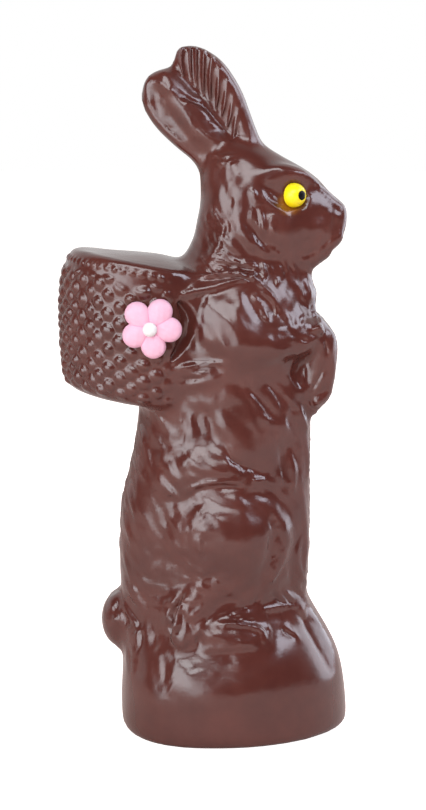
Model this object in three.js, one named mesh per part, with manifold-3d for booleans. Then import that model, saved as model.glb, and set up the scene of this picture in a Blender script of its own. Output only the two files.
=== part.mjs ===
// A chocolate rabbit from a two-part mould, standing on a mound with a full basket on its back.
// One chocolate casting, a candy eye with a black pupil on each side, and an icing flower on the
// basket. Millimetres, +Z up. The rabbit looks along +X and its right side is at -Y. The origin is
// on the surface it stands on, in the middle of its outline. Both halves of the mould are alike, so
// every form is drawn once for the right side and mirrored in the plane Y = 0, where they met.

import * as THREE from 'three';
import { mergeVertices } from 'three/addons/utils/BufferGeometryUtils.js';
import Module from 'manifold-3d';

const wasm = await Module();
wasm.setup();

// ---------------------------------------------------------------- driving dimensions

const HEIGHT = 300;              // sole of the mound to the tip of the tall ear
const MOUND_HALF_WIDTH = 45.9;   // half the width of the mound
const CHEST_HALF_WIDTH = 28;     // half the width of the chest, without the front legs
const HEAD_HALF_WIDTH = 18.8;    // half the width of the head, without the cheeks
const BASKET_HALF_WIDTH = 33;    // half the width of the basket
const SEAT_GAP = 0.3;            // gap round each piece that is stuck on

const EYE_RADIUS = 5.2;          // candy eye, a domed disc about 10 mm across
const EYE_CENTRE = [38.4, 15, 235.8];
const EYE_TURN = 42;             // degrees that an eye looks forward of straight sideways
const EYE_BURIED = 1.3;          // depth of the flat back of the eye below its centre
const PUPIL_RADIUS = 2.0;
const PUPIL_DEPTH = 0.9;         // thickness of the black dot that is set into the dome

const FLOWER_CENTRE = [-22.7, 180.3];   // X and Z of the middle of the flower
const FLOWER_BACK = 33.8;        // distance of its flat back from the mould's parting plane
const PETAL_RADIUS = 5.3;
const PETAL_HEIGHT = 3.6;        // rise of a petal from the flat back
const PETAL_REACH = 7.9;         // middle of the flower to the middle of a petal
const FLOWER_BALL_RADIUS = 3.05;

const WEAVE_DEPTH = 1.0;         // rise of a knob of the basket weave
const FILLING_CROWN = 4.2;       // rise of the filling in the middle of the basket, over its rim
const HAIR_RADIUS = 0.95;        // half the width of a strand in the open ear

// Where two forms meet, edges shorter than this are merged and triangles flatter than this are
// turned. The sides of the pieces that are stuck on are finer than those of the casting.
const CASTING_CLEAN = { shortest: 0.35, flattest: 0.04 };
const SMALL_CLEAN = { shortest: 0.12, flattest: 0.02 };
const CLEAN_PASSES = 12;

// ---------------------------------------------------------------- materials

const finish = (name, color, roughness) =>
  new THREE.MeshStandardMaterial({ name, color, roughness, metalness: 0 });

const chocolate = finish('chocolate', 0x6b4038, 0.28);
const yellowIcing = finish('yellow_icing', 0xf2dd12, 0.4);
const blackIcing = finish('black_icing', 0x0a0808, 0.35);
const pinkIcing = finish('pink_icing', 0xf0bcd6, 0.55);
const whiteIcing = finish('white_icing', 0xf2f0ee, 0.5);

// ---------------------------------------------------------------- small helpers

const mix = (a, b, t) => a + (b - a) * t;
const power = (value, exponent) => Math.sign(value) * Math.abs(value) ** exponent;

// A smooth curve through rows of numbers whose first column rises: returns the other columns.
function curveThrough(rows) {
  return (at) => {
    let i = 0;
    while (i < rows.length - 2 && rows[i + 1][0] < at) i += 1;
    const [p, q] = [rows[i], rows[i + 1]];
    const before = rows[Math.max(i - 1, 0)];
    const after = rows[Math.min(i + 2, rows.length - 1)];
    const step = q[0] - p[0];
    const t = Math.min(Math.max((at - p[0]) / step, 0), 1);
    return p.slice(1).map((value, k) => {
      const c = k + 1;
      const slopeIn = (q[c] - before[c]) / (q[0] - before[0]) * step;
      const slopeOut = (after[c] - p[c]) / (after[0] - p[0]) * step;
      const a = 2 * t ** 3 - 3 * t ** 2 + 1;
      const b = t ** 3 - 2 * t ** 2 + t;
      return a * value + b * slopeIn + (1 - a) * q[c] + (t ** 3 - t ** 2) * slopeOut;
    });
  };
}

// Joins rings of equal length into a closed skin, with a fan to the middle of each end ring.
function skin(rings) {
  const count = rings[0].length;
  const middle = (ring) => {
    const sum = ring.reduce((total, p) => total.add(p), new THREE.Vector3());
    return sum.divideScalar(count);
  };
  const points = rings.flat().concat([middle(rings[0]), middle(rings.at(-1))]);
  const first = rings.length * count;
  const index = [];
  for (let j = 0; j < count; j += 1) {
    const next = (j + 1) % count;
    for (let i = 0; i < rings.length - 1; i += 1) {
      const a = i * count + j;
      const b = i * count + next;
      index.push(a, b, b + count, a, b + count, a + count);
    }
    const top = (rings.length - 1) * count;
    index.push(first, next, j, first + 1, top + j, top + next);
  }
  const geometry = new THREE.BufferGeometry().setFromPoints(points);
  geometry.setIndex(index);
  return geometry;
}

// The signed volume of a closed geometry, negative where it is inside out.
function signedVolume(geometry) {
  const at = geometry.getAttribute('position');
  const corner = (i) => new THREE.Vector3().fromBufferAttribute(at, geometry.index.getX(i));
  let sum = 0;
  for (let i = 0; i < geometry.index.count; i += 3) {
    sum += corner(i).dot(corner(i + 1).cross(corner(i + 2)));
  }
  return sum / 6;
}

// Makes a closed geometry a solid, turning it right side out first.
function solid(geometry) {
  const bare = geometry.clone();
  bare.deleteAttribute('normal');
  bare.deleteAttribute('uv');
  const merged = mergeVertices(bare, 1e-4);
  const triangles = Uint32Array.from(merged.index.array);
  if (signedVolume(merged) < 0) {
    for (let i = 0; i < triangles.length; i += 3) {
      [triangles[i], triangles[i + 1]] = [triangles[i + 1], triangles[i]];
    }
  }
  const vertices = Float32Array.from(merged.getAttribute('position').array);
  const mesh = new wasm.Mesh({ numProp: 3, vertProperties: vertices, triVerts: triangles });
  return new wasm.Manifold(mesh);
}

const fuse = (shapes) => shapes.reduce((whole, shape) => whole.add(shape));

// The same geometry on the other side of the parting plane.
const mirrored = (geometry) => geometry.clone().scale(1, -1, 1);

const bothSides = (geometry) => fuse([solid(geometry), solid(mirrored(geometry))]);

// Where two forms meet, the cut leaves slivers. This merges the ends of every edge shorter than
// `shortest` and turns the long edge of every triangle flatter than `flattest`, as long as the skin
// stays closed and no face turns over. It moves the points and returns the triangles that are left.
function withoutSlivers(points, triangles, { shortest, flattest }) {
  const fans = points.map(() => new Set());
  triangles.forEach((corners, t) => corners.forEach((v) => fans[v].add(t)));
  const normal = ([a, b, c]) => {
    const side = points[b].clone().sub(points[a]);
    return side.cross(points[c].clone().sub(points[a]));
  };
  const neighbours = (v) => {
    const corners = [...fans[v]].flatMap((t) => triangles[t]);
    return new Set(corners.filter((w) => w !== v));
  };
  const shared = (a, b) => [...fans[a]].filter((t) => fans[b].has(t));
  const height = (corners) => {
    const sides = corners.map((v, i) => points[v].distanceTo(points[corners[(i + 1) % 3]]));
    return normal(corners).length() / Math.max(...sides, 1e-9);
  };

  const mergeEnds = (a, b) => {
    const common = [...neighbours(a)].filter((v) => neighbours(b).has(v));
    if (common.length !== 2) return false;
    const target = points[a].clone().lerp(points[b], 0.5);
    const touched = [...new Set([...fans[a], ...fans[b]])];
    const around = touched.filter((t) => !(fans[a].has(t) && fans[b].has(t)));
    const before = around.map((t) => normal(triangles[t]));
    const [oldA, oldB] = [points[a], points[b]];
    points[a] = target;
    points[b] = target;
    const sizeable = 0.03;
    const turned = around.some((t, i) => {
      const now = normal(triangles[t]);
      return before[i].length() > sizeable && now.dot(before[i]) < 0;
    });
    if (turned) {
      [points[a], points[b]] = [oldA, oldB];
      return false;
    }
    shared(a, b).forEach((t) => {
      triangles[t].forEach((v) => fans[v].delete(t));
      triangles[t] = null;
    });
    fans[b].forEach((t) => {
      triangles[t] = triangles[t].map((v) => (v === b ? a : v));
      fans[a].add(t);
    });
    fans[b].clear();
    return true;
  };

  const turnEdge = (a, b, c) => {
    const other = shared(a, b).find((t) => !triangles[t].includes(c));
    const own = shared(a, b).find((t) => triangles[t].includes(c));
    const d = triangles[other].find((v) => v !== a && v !== b);
    const pair = [[a, d, c], [d, b, c]];
    const flattestNow = Math.min(height(triangles[own]), height(triangles[other]));
    const guide = normal(triangles[other]);
    const noBetter = Math.min(...pair.map(height)) <= flattestNow;
    const turned = pair.some((corners) => normal(corners).dot(guide) <= 0);
    if (noBetter || turned || shared(c, d).length) return false;
    [own, other].forEach((t, i) => {
      triangles[t].forEach((v) => fans[v].delete(t));
      triangles[t] = pair[i];
    });
    [own, other].forEach((t) => triangles[t].forEach((v) => fans[v].add(t)));
    return true;
  };

  const mended = ([a, b, c]) => {
    const length = points[a].distanceTo(points[b]);
    if (length < shortest && mergeEnds(a, b)) return true;
    const others = [points[b].distanceTo(points[c]), points[c].distanceTo(points[a])];
    return height([a, b, c]) < flattest && length >= Math.max(...others) && turnEdge(a, b, c);
  };

  for (let pass = 0, changed = true; changed && pass < CLEAN_PASSES; pass += 1) {
    changed = false;
    triangles.forEach((_, t) => {
      for (let i = 0; i < 3 && triangles[t]; i += 1) {
        if (mended([0, 1, 2].map((k) => triangles[t][(i + k) % 3]))) changed = true;
      }
    });
  }
  return triangles.filter(Boolean);
}

// A named mesh of a finished solid.
function piece(name, shape, material, clean = SMALL_CLEAN) {
  const mesh = shape.getMesh();
  const points = [];
  for (let i = 0; i < mesh.vertProperties.length; i += 3) {
    points.push(new THREE.Vector3().fromArray(mesh.vertProperties, i));
  }
  const triangles = [];
  for (let i = 0; i < mesh.triVerts.length; i += 3) {
    triangles.push([...mesh.triVerts.slice(i, i + 3)]);
  }
  const corners = withoutSlivers(points, triangles, clean).flat();
  const soup = new THREE.BufferGeometry().setFromPoints(corners.map((v) => points[v]));
  const result = new THREE.Mesh(mergeVertices(soup, 1e-5), material);
  result.name = name;
  return result;
}

// ---------------------------------------------------------------- forms

// An egg or ball: radii along X, Y and Z, then turned in the side view by `turn` degrees.
function ball([x, y, z], [rx, ry, rz], turn = 0, around = 18, rows = 12) {
  const geometry = new THREE.SphereGeometry(1, around, rows);
  geometry.scale(rx, ry, rz).rotateY(THREE.MathUtils.degToRad(turn));
  return geometry.translate(x, y, z);
}

// A rounded limb along a curve. Each row is [x, y, z, radius]; `depth` scales it across the curve
// in Y. The ends are domes: the radius closes as a quarter circle while the curve runs on.
function limb(rows, depth = 1, around = 10, steps = 6, dome = [1.3, 0.7]) {
  const path = new THREE.CatmullRomCurve3(rows.map(([x, y, z]) => new THREE.Vector3(x, y, z)));
  const radii = curveThrough(rows.map((row, i) => [i / (rows.length - 1), row[3]]));
  const stops = dome.map((angle) => [0, -Math.sin(angle), Math.cos(angle)]);
  for (let i = 0; i <= steps; i += 1) stops.push([i / steps, 0, 1]);
  [...dome].reverse().forEach((angle) => stops.push([1, Math.sin(angle), Math.cos(angle)]));
  const sideways = new THREE.Vector3(0, 1, 0);
  const rings = stops.map(([t, beyond, share]) => {
    const along = path.getTangent(t);
    const across = new THREE.Vector3().crossVectors(along, sideways).normalize();
    const out = new THREE.Vector3().crossVectors(across, along).normalize();
    const radius = radii(t)[0];
    const centre = path.getPoint(t).addScaledVector(along, beyond * radius);
    return Array.from({ length: around }, (_, j) => {
      const angle = 2 * Math.PI * j / around;
      return centre.clone()
        .addScaledVector(across, Math.cos(angle) * radius * share)
        .addScaledVector(out, Math.sin(angle) * radius * share * depth);
    });
  });
  return skin(rings);
}

// One level ring of a body: two half ovals that meet at its widest place, from the back of the
// rabbit to its front. A power of 2 is an ellipse, and a higher one is boxier.
function oval(z, back, wide, front, half, backPower, frontPower, around) {
  return Array.from({ length: around }, (_, j) => {
    const angle = 2 * Math.PI * j / around;
    const [c, s] = [Math.cos(angle), Math.sin(angle)];
    const p = 2 / (c < 0 ? backPower : frontPower);
    const reach = c < 0 ? wide - back : front - wide;
    return new THREE.Vector3(wide + reach * power(c, p), half * power(s, p), z);
  });
}

// ---------------------------------------------------------------- the casting

// The trunk from the sole of the mound to the crown, by level: the height, the back, the widest
// place and the front along X, the half width, and the powers of the back and front ovals.
function trunk() {
  const m = MOUND_HALF_WIDTH;
  const c = CHEST_HALF_WIDTH;
  const h = HEAD_HALF_WIDTH;
  const level = curveThrough([
    [0, -35.6, 5, 63, m - 1, 2.4, 1.95],
    [1.6, -36.9, 5, 64, m, 2.4, 1.95],
    [13, -37.4, 5, 63.5, m, 2.4, 1.95],
    [25, -36.9, 5, 61.8, m - 0.6, 2.35, 1.95],
    [34, -36.6, 6, 59.2, m - 3.2, 2.3, 1.95],
    [41, -36.8, 7, 55.8, m - 7, 2.25, 2],
    [46, -37, 8, 53, m - 10.2, 2.2, 2],
    [52, -37.1, 8, 49.4, c + 5, 2.2, 2],
    [60, -37.3, 8, 45.6, c + 4, 2.2, 2.1],
    [73, -37.9, 8, 46.5, c + 3.4, 2.2, 2.3],
    [100, -36.6, 8, 46.5, c + 3, 2.2, 2.3],
    [122, -31.6, 8, 46.5, c + 2.4, 2.2, 2.3],
    [141, -29, 8, 46.9, c + 1.6, 2.2, 2.3],
    [165, -25, 8, 45.8, c + 0.6, 2.2, 2.2],
    [184, -19, 9, 48.2, c, 2.2, 2.1],
    [194, -15, 10, 48.8, c - 2.4, 2.1, 2.1],
    [201.5, -14.4, 13, 46.4, h + 2.2, 2.1, 2.1],
    [206, -12, 16, 48.6, h, 2.1, 2],
    [211, -8, 19, 54.3, h - 0.4, 2.1, 2],
    [217.5, -4.8, 22, 60.4, h, 2.1, 2],
    [225, -3.2, 23, 62.2, h, 2.1, 2],
    [231, -2, 23, 61.5, h, 2.1, 1.95],
    [237, -1.6, 22, 54.6, h - 0.4, 2.1, 1.95],
    [243, -1.9, 20, 49.2, h - 1.4, 2.1, 2],
    [248, -1.4, 18, 41.8, h - 3, 2.1, 2],
    [252, -1, 15, 34.4, h - 5, 2.1, 2],
    [257, -0.4, 12, 26.4, h - 8.8, 2.1, 2],
    [261, 0, 10, 22, h - 14.3, 2.1, 2],
  ]);
  const heights = [0, 1.6, 9];
  const step = (z) => {
    if (z < 196) return z > 28 && z < 62 ? 5.5 : 11;
    return z < 246 ? 4.5 : 3.8;
  };
  while (heights.at(-1) < 260) heights.push(Math.min(heights.at(-1) + step(heights.at(-1)), 261));
  return skin(heights.map((z) => oval(z, ...level(z), 34)));
}

// The thigh, the lower leg down to its round heel, the long hind foot and the roll of fur above.
function hindQuarters() {
  const thigh = ball([10, 20, 88], [28.8, 19, 28.5], 12, 20, 12);
  const shin = limb([[2, 31, 68, 7], [-6, 35, 58, 5.8], [-10, 36.6, 47, 4.8]], 1, 10, 3);
  const foot = limb([[4.5, 34.8, 47, 6.8], [12.5, 36, 47, 7.4], [21, 34.2, 46.4, 6.2]], 0.95, 10, 3);
  const roll = limb([
    [-16, 20, 113, 6.5], [-6, 25, 118.6, 9.4], [6, 26, 119.4, 9.8],
    [17, 24, 115.5, 7.6], [26, 20, 111, 5.4],
  ], 1, 10, 6);
  return [thigh, shin, foot, roll].map(bothSides);
}

// The front leg: shoulder, bent elbow, the forearm held level, and the paw that hangs from it.
function frontLeg() {
  const shoulder = ball([9, 18, 181], [16.5, 15.6, 18], -10, 16, 10);
  const upperArm = limb([[8, 21.5, 183, 11.5], [13, 23.5, 174, 11], [19, 24, 171.5, 10]], 0.95, 12, 4);
  const forearm = limb([
    [16, 24, 171.5, 9.8], [27, 22.6, 173.4, 9.6], [38, 17.6, 175.2, 8.4], [47, 11, 176, 7],
  ], 1, 12, 4);
  const paw = limb([
    [48, 8, 177.8, 6], [50.8, 8.2, 171.5, 7.4], [50.4, 8.2, 161, 7.3],
    [49.2, 7.6, 151, 6.8], [46.8, 6.4, 145.5, 4.6],
  ], 1.15, 10, 5);
  return [shoulder, upperArm, forearm, paw].map(bothSides);
}

// The carrying straps: one over the shoulder from the rim of the basket, one round the waist.
function straps() {
  const shoulder = limb([
    [-12, 20.5, 196, 3.2], [2, 24, 199.6, 3.4], [16, 22.6, 200.6, 3.4],
    [26, 21.5, 195.5, 3.2], [31.5, 21, 187, 3],
  ], 1, 6, 8, [0.9]);
  const waist = limb([
    [-17, 19.5, 160.5, 3], [-7, 25.6, 158, 3.6], [3, 28, 159.4, 3.4], [12, 27.6, 165, 2.6],
  ], 1, 6, 5, [0.9]);
  return [shoulder, waist].map(bothSides);
}

// Cheek, muzzle pad and chin, the brow over the eye and the lid under it.
function face() {
  const cheek = ball([29, 8, 221], [16, 13.2, 15], 0, 16, 12);
  const pad = ball([51, 4.4, 218.6], [9.8, 7.2, 7.6], 0, 14, 10);
  const chin = ball([45.4, 3, 212.6], [9.6, 8.4, 5.6], 22, 12, 8);
  const brow = limb([
    [21, 13.2, 241.5, 4.4], [31, 13, 244.8, 4.6], [40, 10.4, 243.6, 4.2], [47, 7.2, 239, 3.4],
  ], 1, 8, 5, [1]);
  const lid = limb([
    [24, 17, 239, 2], [28.5, 17.6, 232.4, 2.2], [35.5, 16, 228.8, 2.2], [42.5, 12.4, 229, 2],
  ], 1, 6, 5, [1]);
  return [cheek, pad, chin, brow, lid].map(bothSides);
}

// The hollow round each eye: an almond that points back, with the candy eye in its front part.
function eyeSocket() {
  return bothSides(limb([[26.5, 19.8, 239, 1.6], [32, 19.4, 236.8, 4], [39, 17.4, 235.6, 6]], 0.62));
}

// A flat, hollowed ear between its back edge and its front edge, both from root to tip in the side
// view. `section` gives the half thickness from the back edge, 0, to the front edge, 1.
function ear(backEdge, frontEdge, section, steps = 12) {
  const edge = (points) => {
    const corners = points.map(([x, z]) => new THREE.Vector3(x, 0, z));
    return new THREE.CatmullRomCurve3(corners);
  };
  const [back, front, thickness] = [edge(backEdge), edge(frontEdge), curveThrough(section)];
  const across = section.map((row) => row[0]);
  const rings = [];
  for (let i = 0; i <= steps; i += 1) {
    const t = i / steps;
    const [p, q] = [back.getPointAt(t), front.getPointAt(t)];
    const fade = Math.sqrt(1 - t ** 6) * 0.96 + 0.04;
    const rim = across.map((v) => {
      const point = p.clone().lerp(q, v);
      point.y = Math.max(thickness(v)[0] * fade, 0.05);
      return point;
    });
    const underside = rim.slice(1, -1).reverse().map(({ x, y, z }) => new THREE.Vector3(x, -y, z));
    rim[0].y = 0;
    rim.at(-1).y = 0;
    rings.push(rim.concat(underside));
  }
  return solid(skin(rings));
}

// The two ears that each half of the mould shows, one behind the other, and the strands of hair
// that hang like a comb from the rim of the tall one into its hollow.
function ears() {
  const tall = ear(
    [[2, 244], [-2, 262], [-9, 277], [-14.4, 286], [-13.9, 292], [-11.4, 298.2], [-6.5, HEIGHT]],
    [
      [30.4, 247], [23.4, 262], [19.8, 271.5], [15.8, 281.4], [8.9, 291.8], [1.4, 297.4],
      [-6.5, HEIGHT],
    ],
    [
      [0, 0], [0.06, 3], [0.3, 3], [0.45, 3.8], [0.62, 5.4], [0.78, 7], [0.9, 6.8], [0.97, 4.6],
      [1, 0],
    ],
  );
  const low = ear(
    [
      [-0.6, 243], [-5.4, 250.4], [-12.7, 256.4], [-21.2, 264.6], [-26.6, 273.6], [-26.9, 281],
      [-24.4, 286.4], [-20, 289],
    ],
    [
      [25, 245], [12.4, 259.8], [4.7, 270.7], [-2.2, 277.6], [-9.4, 285.6], [-14.4, 289.8],
      [-20, 289],
    ],
    [
      [0, 0], [0.04, 4.4], [0.12, 6.6], [0.24, 5.4], [0.4, 7.2], [0.6, 10], [0.76, 8.4],
      [0.92, 5.6], [1, 0],
    ],
  );
  const strands = [];
  const count = 9;
  for (let i = 0; i < count; i += 1) {
    const t = i / (count - 1);
    const top = new THREE.Vector3(mix(-10, 13.5, t), mix(3.6, 5.2, t), mix(294.5, 272, t));
    const fall = mix(9, 11.5, Math.sin(Math.PI * t));
    const foot = new THREE.Vector3(top.x + mix(1.2, -3, t), mix(2.6, 3.4, t), top.z - fall);
    strands.push(bothSides(limb([[...top, HAIR_RADIUS], [...foot, HAIR_RADIUS]], 1, 5, 1, [1])));
  }
  return [tall, low, ...strands];
}

// The full basket: rings that fan from its tilted bottom to its sloping top, woven in knobs that
// are staggered from row to row, and the filling, which is highest in the middle and towards the
// rabbit. Columns: share of the height, back along X, half width.
function basket() {
  const [middle, frontReach, ovalPower] = [-28, 35, 2.15];
  const bare = BASKET_HALF_WIDTH - WEAVE_DEPTH;
  const wall = curveThrough([
    [0, -52, bare - 8],
    [0.02, -57.6, bare - 4.5],
    [0.06, -60.4, bare - 2],
    [0.19, -62.2, bare - 0.4],
    [0.42, -62.9, bare + 0.4],
    [0.6, -62.9, bare + 0.4],
    [0.78, -62, bare],
    [0.9, -60.4, bare - 0.4],
    [0.96, -58.2, bare - 1],
    [1, -55, bare - 3],
  ]);
  const bottom = (x) => 149 - 0.16 * (x + 48);
  const top = (x) => 212.2 - 0.19 * (x + 52);
  const crown = (x) => FILLING_CROWN * Math.min(Math.max((x + 58) / 40, 0), 1);
  const shares = [0, 0.02, 0.05];
  const weaveRows = 17;
  for (let i = 0; i < weaveRows; i += 1) shares.push(mix(0.08, 0.93, i / (weaveRows - 1)));
  shares.push(0.965, 1);
  const around = 56;
  const rings = shares.map((share, row) => {
    const [back, half] = wall(share);
    const woven = row % 2 === 0 && share > 0.06 && share < 0.95;
    return Array.from({ length: around }, (_, j) => {
      const angle = 2 * Math.PI * j / around;
      const [c, s] = [Math.cos(angle), Math.sin(angle)];
      const knob = woven && j % 2 === (row / 2) % 2 ? WEAVE_DEPTH : 0;
      const reach = (c < 0 ? middle - back : frontReach) + knob;
      const x = middle + reach * power(c, 2 / ovalPower);
      const y = (half + knob) * power(s, 2 / ovalPower);
      return new THREE.Vector3(x, y, mix(bottom(x), top(x), share));
    });
  });
  const rim = rings.at(-1);
  const filling = [0.66, 0.33, 0.04].map((share) => rim.map((point) => {
    const x = mix(middle, point.x, share);
    return new THREE.Vector3(x, point.y * share, top(x) + crown(x) * (1 - share ** 2));
  }));
  return solid(skin(rings.concat(filling)));
}

const tail = () => solid(ball([-37.6, 0, 46.5], [8.9, 12.4, 12.8], 0, 16, 12));

// ---------------------------------------------------------------- what is stuck on

// A dome on a flat back, standing along +Y with its centre at the origin.
function dome(radius, buried, grow = 0) {
  const full = radius + grow;
  const floor = -(buried + grow);
  const rim = Math.sqrt(full ** 2 - floor ** 2);
  const profile = [new THREE.Vector2(0, floor), new THREE.Vector2(rim, floor)];
  const start = Math.asin(floor / full);
  const steps = 6;
  for (let i = 1; i < steps; i += 1) {
    const angle = mix(start, Math.PI / 2, i / steps);
    profile.push(new THREE.Vector2(full * Math.cos(angle), full * Math.sin(angle)));
  }
  profile.push(new THREE.Vector2(0, full));
  return new THREE.LatheGeometry(profile, 20);
}

// Turns a shape that stands along +Y onto its seat beside the head, looking out and forward.
function seatEye(geometry) {
  const [x, y, z] = EYE_CENTRE;
  return geometry.rotateZ(-THREE.MathUtils.degToRad(EYE_TURN)).translate(x, y, z);
}

// The black dot: a lens let into the dome, or with `grow` the recess that takes it.
function pupilDot(grow = 0) {
  const radius = PUPIL_RADIUS + grow;
  const proud = 0.12;
  const crown = EYE_RADIUS + proud + grow;
  const floor = crown - PUPIL_DEPTH - 2 * grow;
  const rim = Math.sqrt(EYE_RADIUS ** 2 - PUPIL_RADIUS ** 2) + grow;
  const shoulder = [radius * 0.6, mix(rim, crown, 0.72)];
  const profile = [[0, floor], [radius, floor], [radius, rim], shoulder, [0, crown]];
  return new THREE.LatheGeometry(profile.map(([r, y]) => new THREE.Vector2(r, y)), 16);
}

// The ball in the middle of the flower, or with `grow` the dimple that takes it.
function flowerBall(grow = 0) {
  const [x, z] = FLOWER_CENTRE;
  const centre = [x, -FLOWER_BACK - PETAL_HEIGHT * 0.95, z];
  return solid(ball(centre, Array(3).fill(FLOWER_BALL_RADIUS + grow), 0, 14, 10));
}

// Five round petals pressed together, flat behind. Each is given by its angle in the side view
// and by how much further out or in than usual it was laid.
function flower() {
  const laid = [[131, 0.4], [60, 0.6], [-2, 0.3], [-79, -0.5], [-157, -0.9]];
  const [x, z] = FLOWER_CENTRE;
  const radii = [PETAL_RADIUS, PETAL_HEIGHT, PETAL_RADIUS];
  const petals = laid.map(([angle, out]) => {
    const turn = THREE.MathUtils.degToRad(angle);
    const reach = PETAL_REACH + out;
    const centre = [x + reach * Math.cos(turn), -FLOWER_BACK, z + reach * Math.sin(turn)];
    return solid(ball(centre, radii, 0, 16, 10));
  });
  const heart = solid(ball([x, -FLOWER_BACK, z], [5.4, PETAL_HEIGHT * 0.86, 5.4], 0, 14, 10));
  const room = 8 * PETAL_RADIUS;
  const behind = new THREE.BoxGeometry(room, room, room).translate(x, room / 2 - FLOWER_BACK, z);
  return fuse([...petals, heart]).subtract(solid(behind)).subtract(flowerBall(SEAT_GAP));
}

// ---------------------------------------------------------------- the whole

const eyeSeat = seatEye(dome(EYE_RADIUS, EYE_BURIED, SEAT_GAP));
const casting = fuse([
  solid(trunk()), ...hindQuarters(), ...frontLeg(), ...straps(), ...face(), ...ears(), basket(), tail(),
]).subtract(eyeSocket()).subtract(bothSides(eyeSeat));

const leftEye = seatEye(dome(EYE_RADIUS, EYE_BURIED));
const leftPupil = seatEye(pupilDot());
const pupilSeat = seatEye(pupilDot(SEAT_GAP));

const rabbit = new THREE.Group();
rabbit.name = 'rabbit';
rabbit.add(
  piece('bunny', casting, chocolate, CASTING_CLEAN),
  piece('right_eye', solid(mirrored(leftEye)).subtract(solid(mirrored(pupilSeat))), yellowIcing),
  piece('left_eye', solid(leftEye).subtract(solid(pupilSeat)), yellowIcing),
  piece('right_pupil', solid(mirrored(leftPupil)), blackIcing),
  piece('left_pupil', solid(leftPupil), blackIcing),
  piece('icing_flower', flower(), pinkIcing),
  piece('flower_centre', flowerBall(), whiteIcing),
);

export default rabbit;
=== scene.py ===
# %% [markdown]
# # A chocolate rabbit from a two-part mould
#
# The real thing is one casting of chocolate: a rabbit that stands on a mound, with a full basket
# on its back. Two candy eyes and an icing flower are stuck on afterwards. This lesson dresses the
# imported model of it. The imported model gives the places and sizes, and is never moved or changed.
# All lengths below are in millimetres until a mesh is made, because a mould is drawn in
# millimetres. X runs from the tail to the nose, Z is up, and the right side is at -Y.

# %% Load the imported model
import math

import bpy
import numpy as np
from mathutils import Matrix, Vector


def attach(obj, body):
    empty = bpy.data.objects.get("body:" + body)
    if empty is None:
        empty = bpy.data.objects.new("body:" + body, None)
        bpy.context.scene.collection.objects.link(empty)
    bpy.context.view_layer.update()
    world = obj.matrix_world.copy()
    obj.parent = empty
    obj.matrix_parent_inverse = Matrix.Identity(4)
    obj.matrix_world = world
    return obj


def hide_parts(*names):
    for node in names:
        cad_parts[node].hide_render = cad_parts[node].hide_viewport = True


MM = 0.001

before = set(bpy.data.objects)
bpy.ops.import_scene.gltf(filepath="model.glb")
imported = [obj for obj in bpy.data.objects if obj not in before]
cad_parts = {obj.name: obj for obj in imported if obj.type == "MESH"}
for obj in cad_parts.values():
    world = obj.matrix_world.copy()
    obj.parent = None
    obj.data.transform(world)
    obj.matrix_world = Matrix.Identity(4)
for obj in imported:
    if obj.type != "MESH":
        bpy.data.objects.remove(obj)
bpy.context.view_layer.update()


# %% [markdown]
# The camera comes first, so that every later step can be judged in the right frame. A long lens
# far away flattens the figure as the product photograph does, and it looks a little downwards, so
# that the top of the basket shows.

# %% Camera
def place_camera(across, distance, height, down, lens):
    """A camera beside the rabbit that looks along +Y and `down` degrees under the horizon."""
    data = bpy.data.cameras.new("camera")
    data.lens = lens
    data.clip_start = 0.05
    data.clip_end = 50.0
    camera = bpy.data.objects.new("camera", data)
    camera.location = (across * MM, -distance * MM, height * MM)
    camera.rotation_euler = (math.radians(90.0 - down), 0.0, 0.0)
    bpy.context.scene.collection.objects.link(camera)
    bpy.context.scene.camera = camera
    return camera


camera = place_camera(across=3.8, distance=784.0, height=255.0, down=8.12, lens=79.5)
print("camera at", tuple(round(v, 3) for v in camera.location))


# %% [markdown]
# Every form below is a skin of rings: a grid of points that is closed round each ring and along
# the rings, with a fan to a middle point at each end. The curves that shape the rings go through
# a few rows of numbers, which are the sizes one would measure on the real piece.

# %% Curves
def curve_through(rows):
    """A smooth curve through rows whose first column rises, as a function of that column.

    Between two rows it is the cubic that leaves each row with the slope between its neighbours.
    """
    rows = np.asarray(rows, float)
    at, values = rows[:, 0], rows[:, 1:]
    order = np.arange(len(at))
    before, after = np.maximum(order - 1, 0), np.minimum(order + 1, len(at) - 1)
    slopes = (values[after] - values[before]) / (at[after] - at[before])[:, None]

    def curve(x):
        x = np.clip(np.asarray(x, float), at[0], at[-1])
        i = np.clip(np.searchsorted(at, x, side="right") - 1, 0, len(at) - 2)
        step = (at[i + 1] - at[i])[..., None]
        t = (x - at[i])[..., None] / step
        rise = 3 * t**2 - 2 * t**3
        bend_in = (t**3 - 2 * t**2 + t) * step * slopes[i]
        bend_out = (t**3 - t**2) * step * slopes[i + 1]
        return (1 - rise) * values[i] + bend_in + rise * values[i + 1] + bend_out

    return curve


def path_through(points):
    """A smooth path through points, as a function of 0 to 1 that moves at an even speed."""
    points = np.asarray(points, float)
    stations = np.linspace(0.0, 1.0, len(points))
    fine = np.linspace(0.0, 1.0, 400)
    dense = curve_through(np.column_stack([stations, points]))(fine)
    run = np.concatenate([[0.0], np.cumsum(np.linalg.norm(np.diff(dense, axis=0), axis=1))])
    run /= run[-1]
    return lambda t: np.stack([np.interp(t, run, column) for column in dense.T], axis=-1)


def smooth_step(value, low, high):
    """0 at low, 1 at high, and a smooth S between them. low may be the larger one."""
    t = np.clip((value - low) / (high - low), 0.0, 1.0)
    return t * t * (3 - 2 * t)


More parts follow.
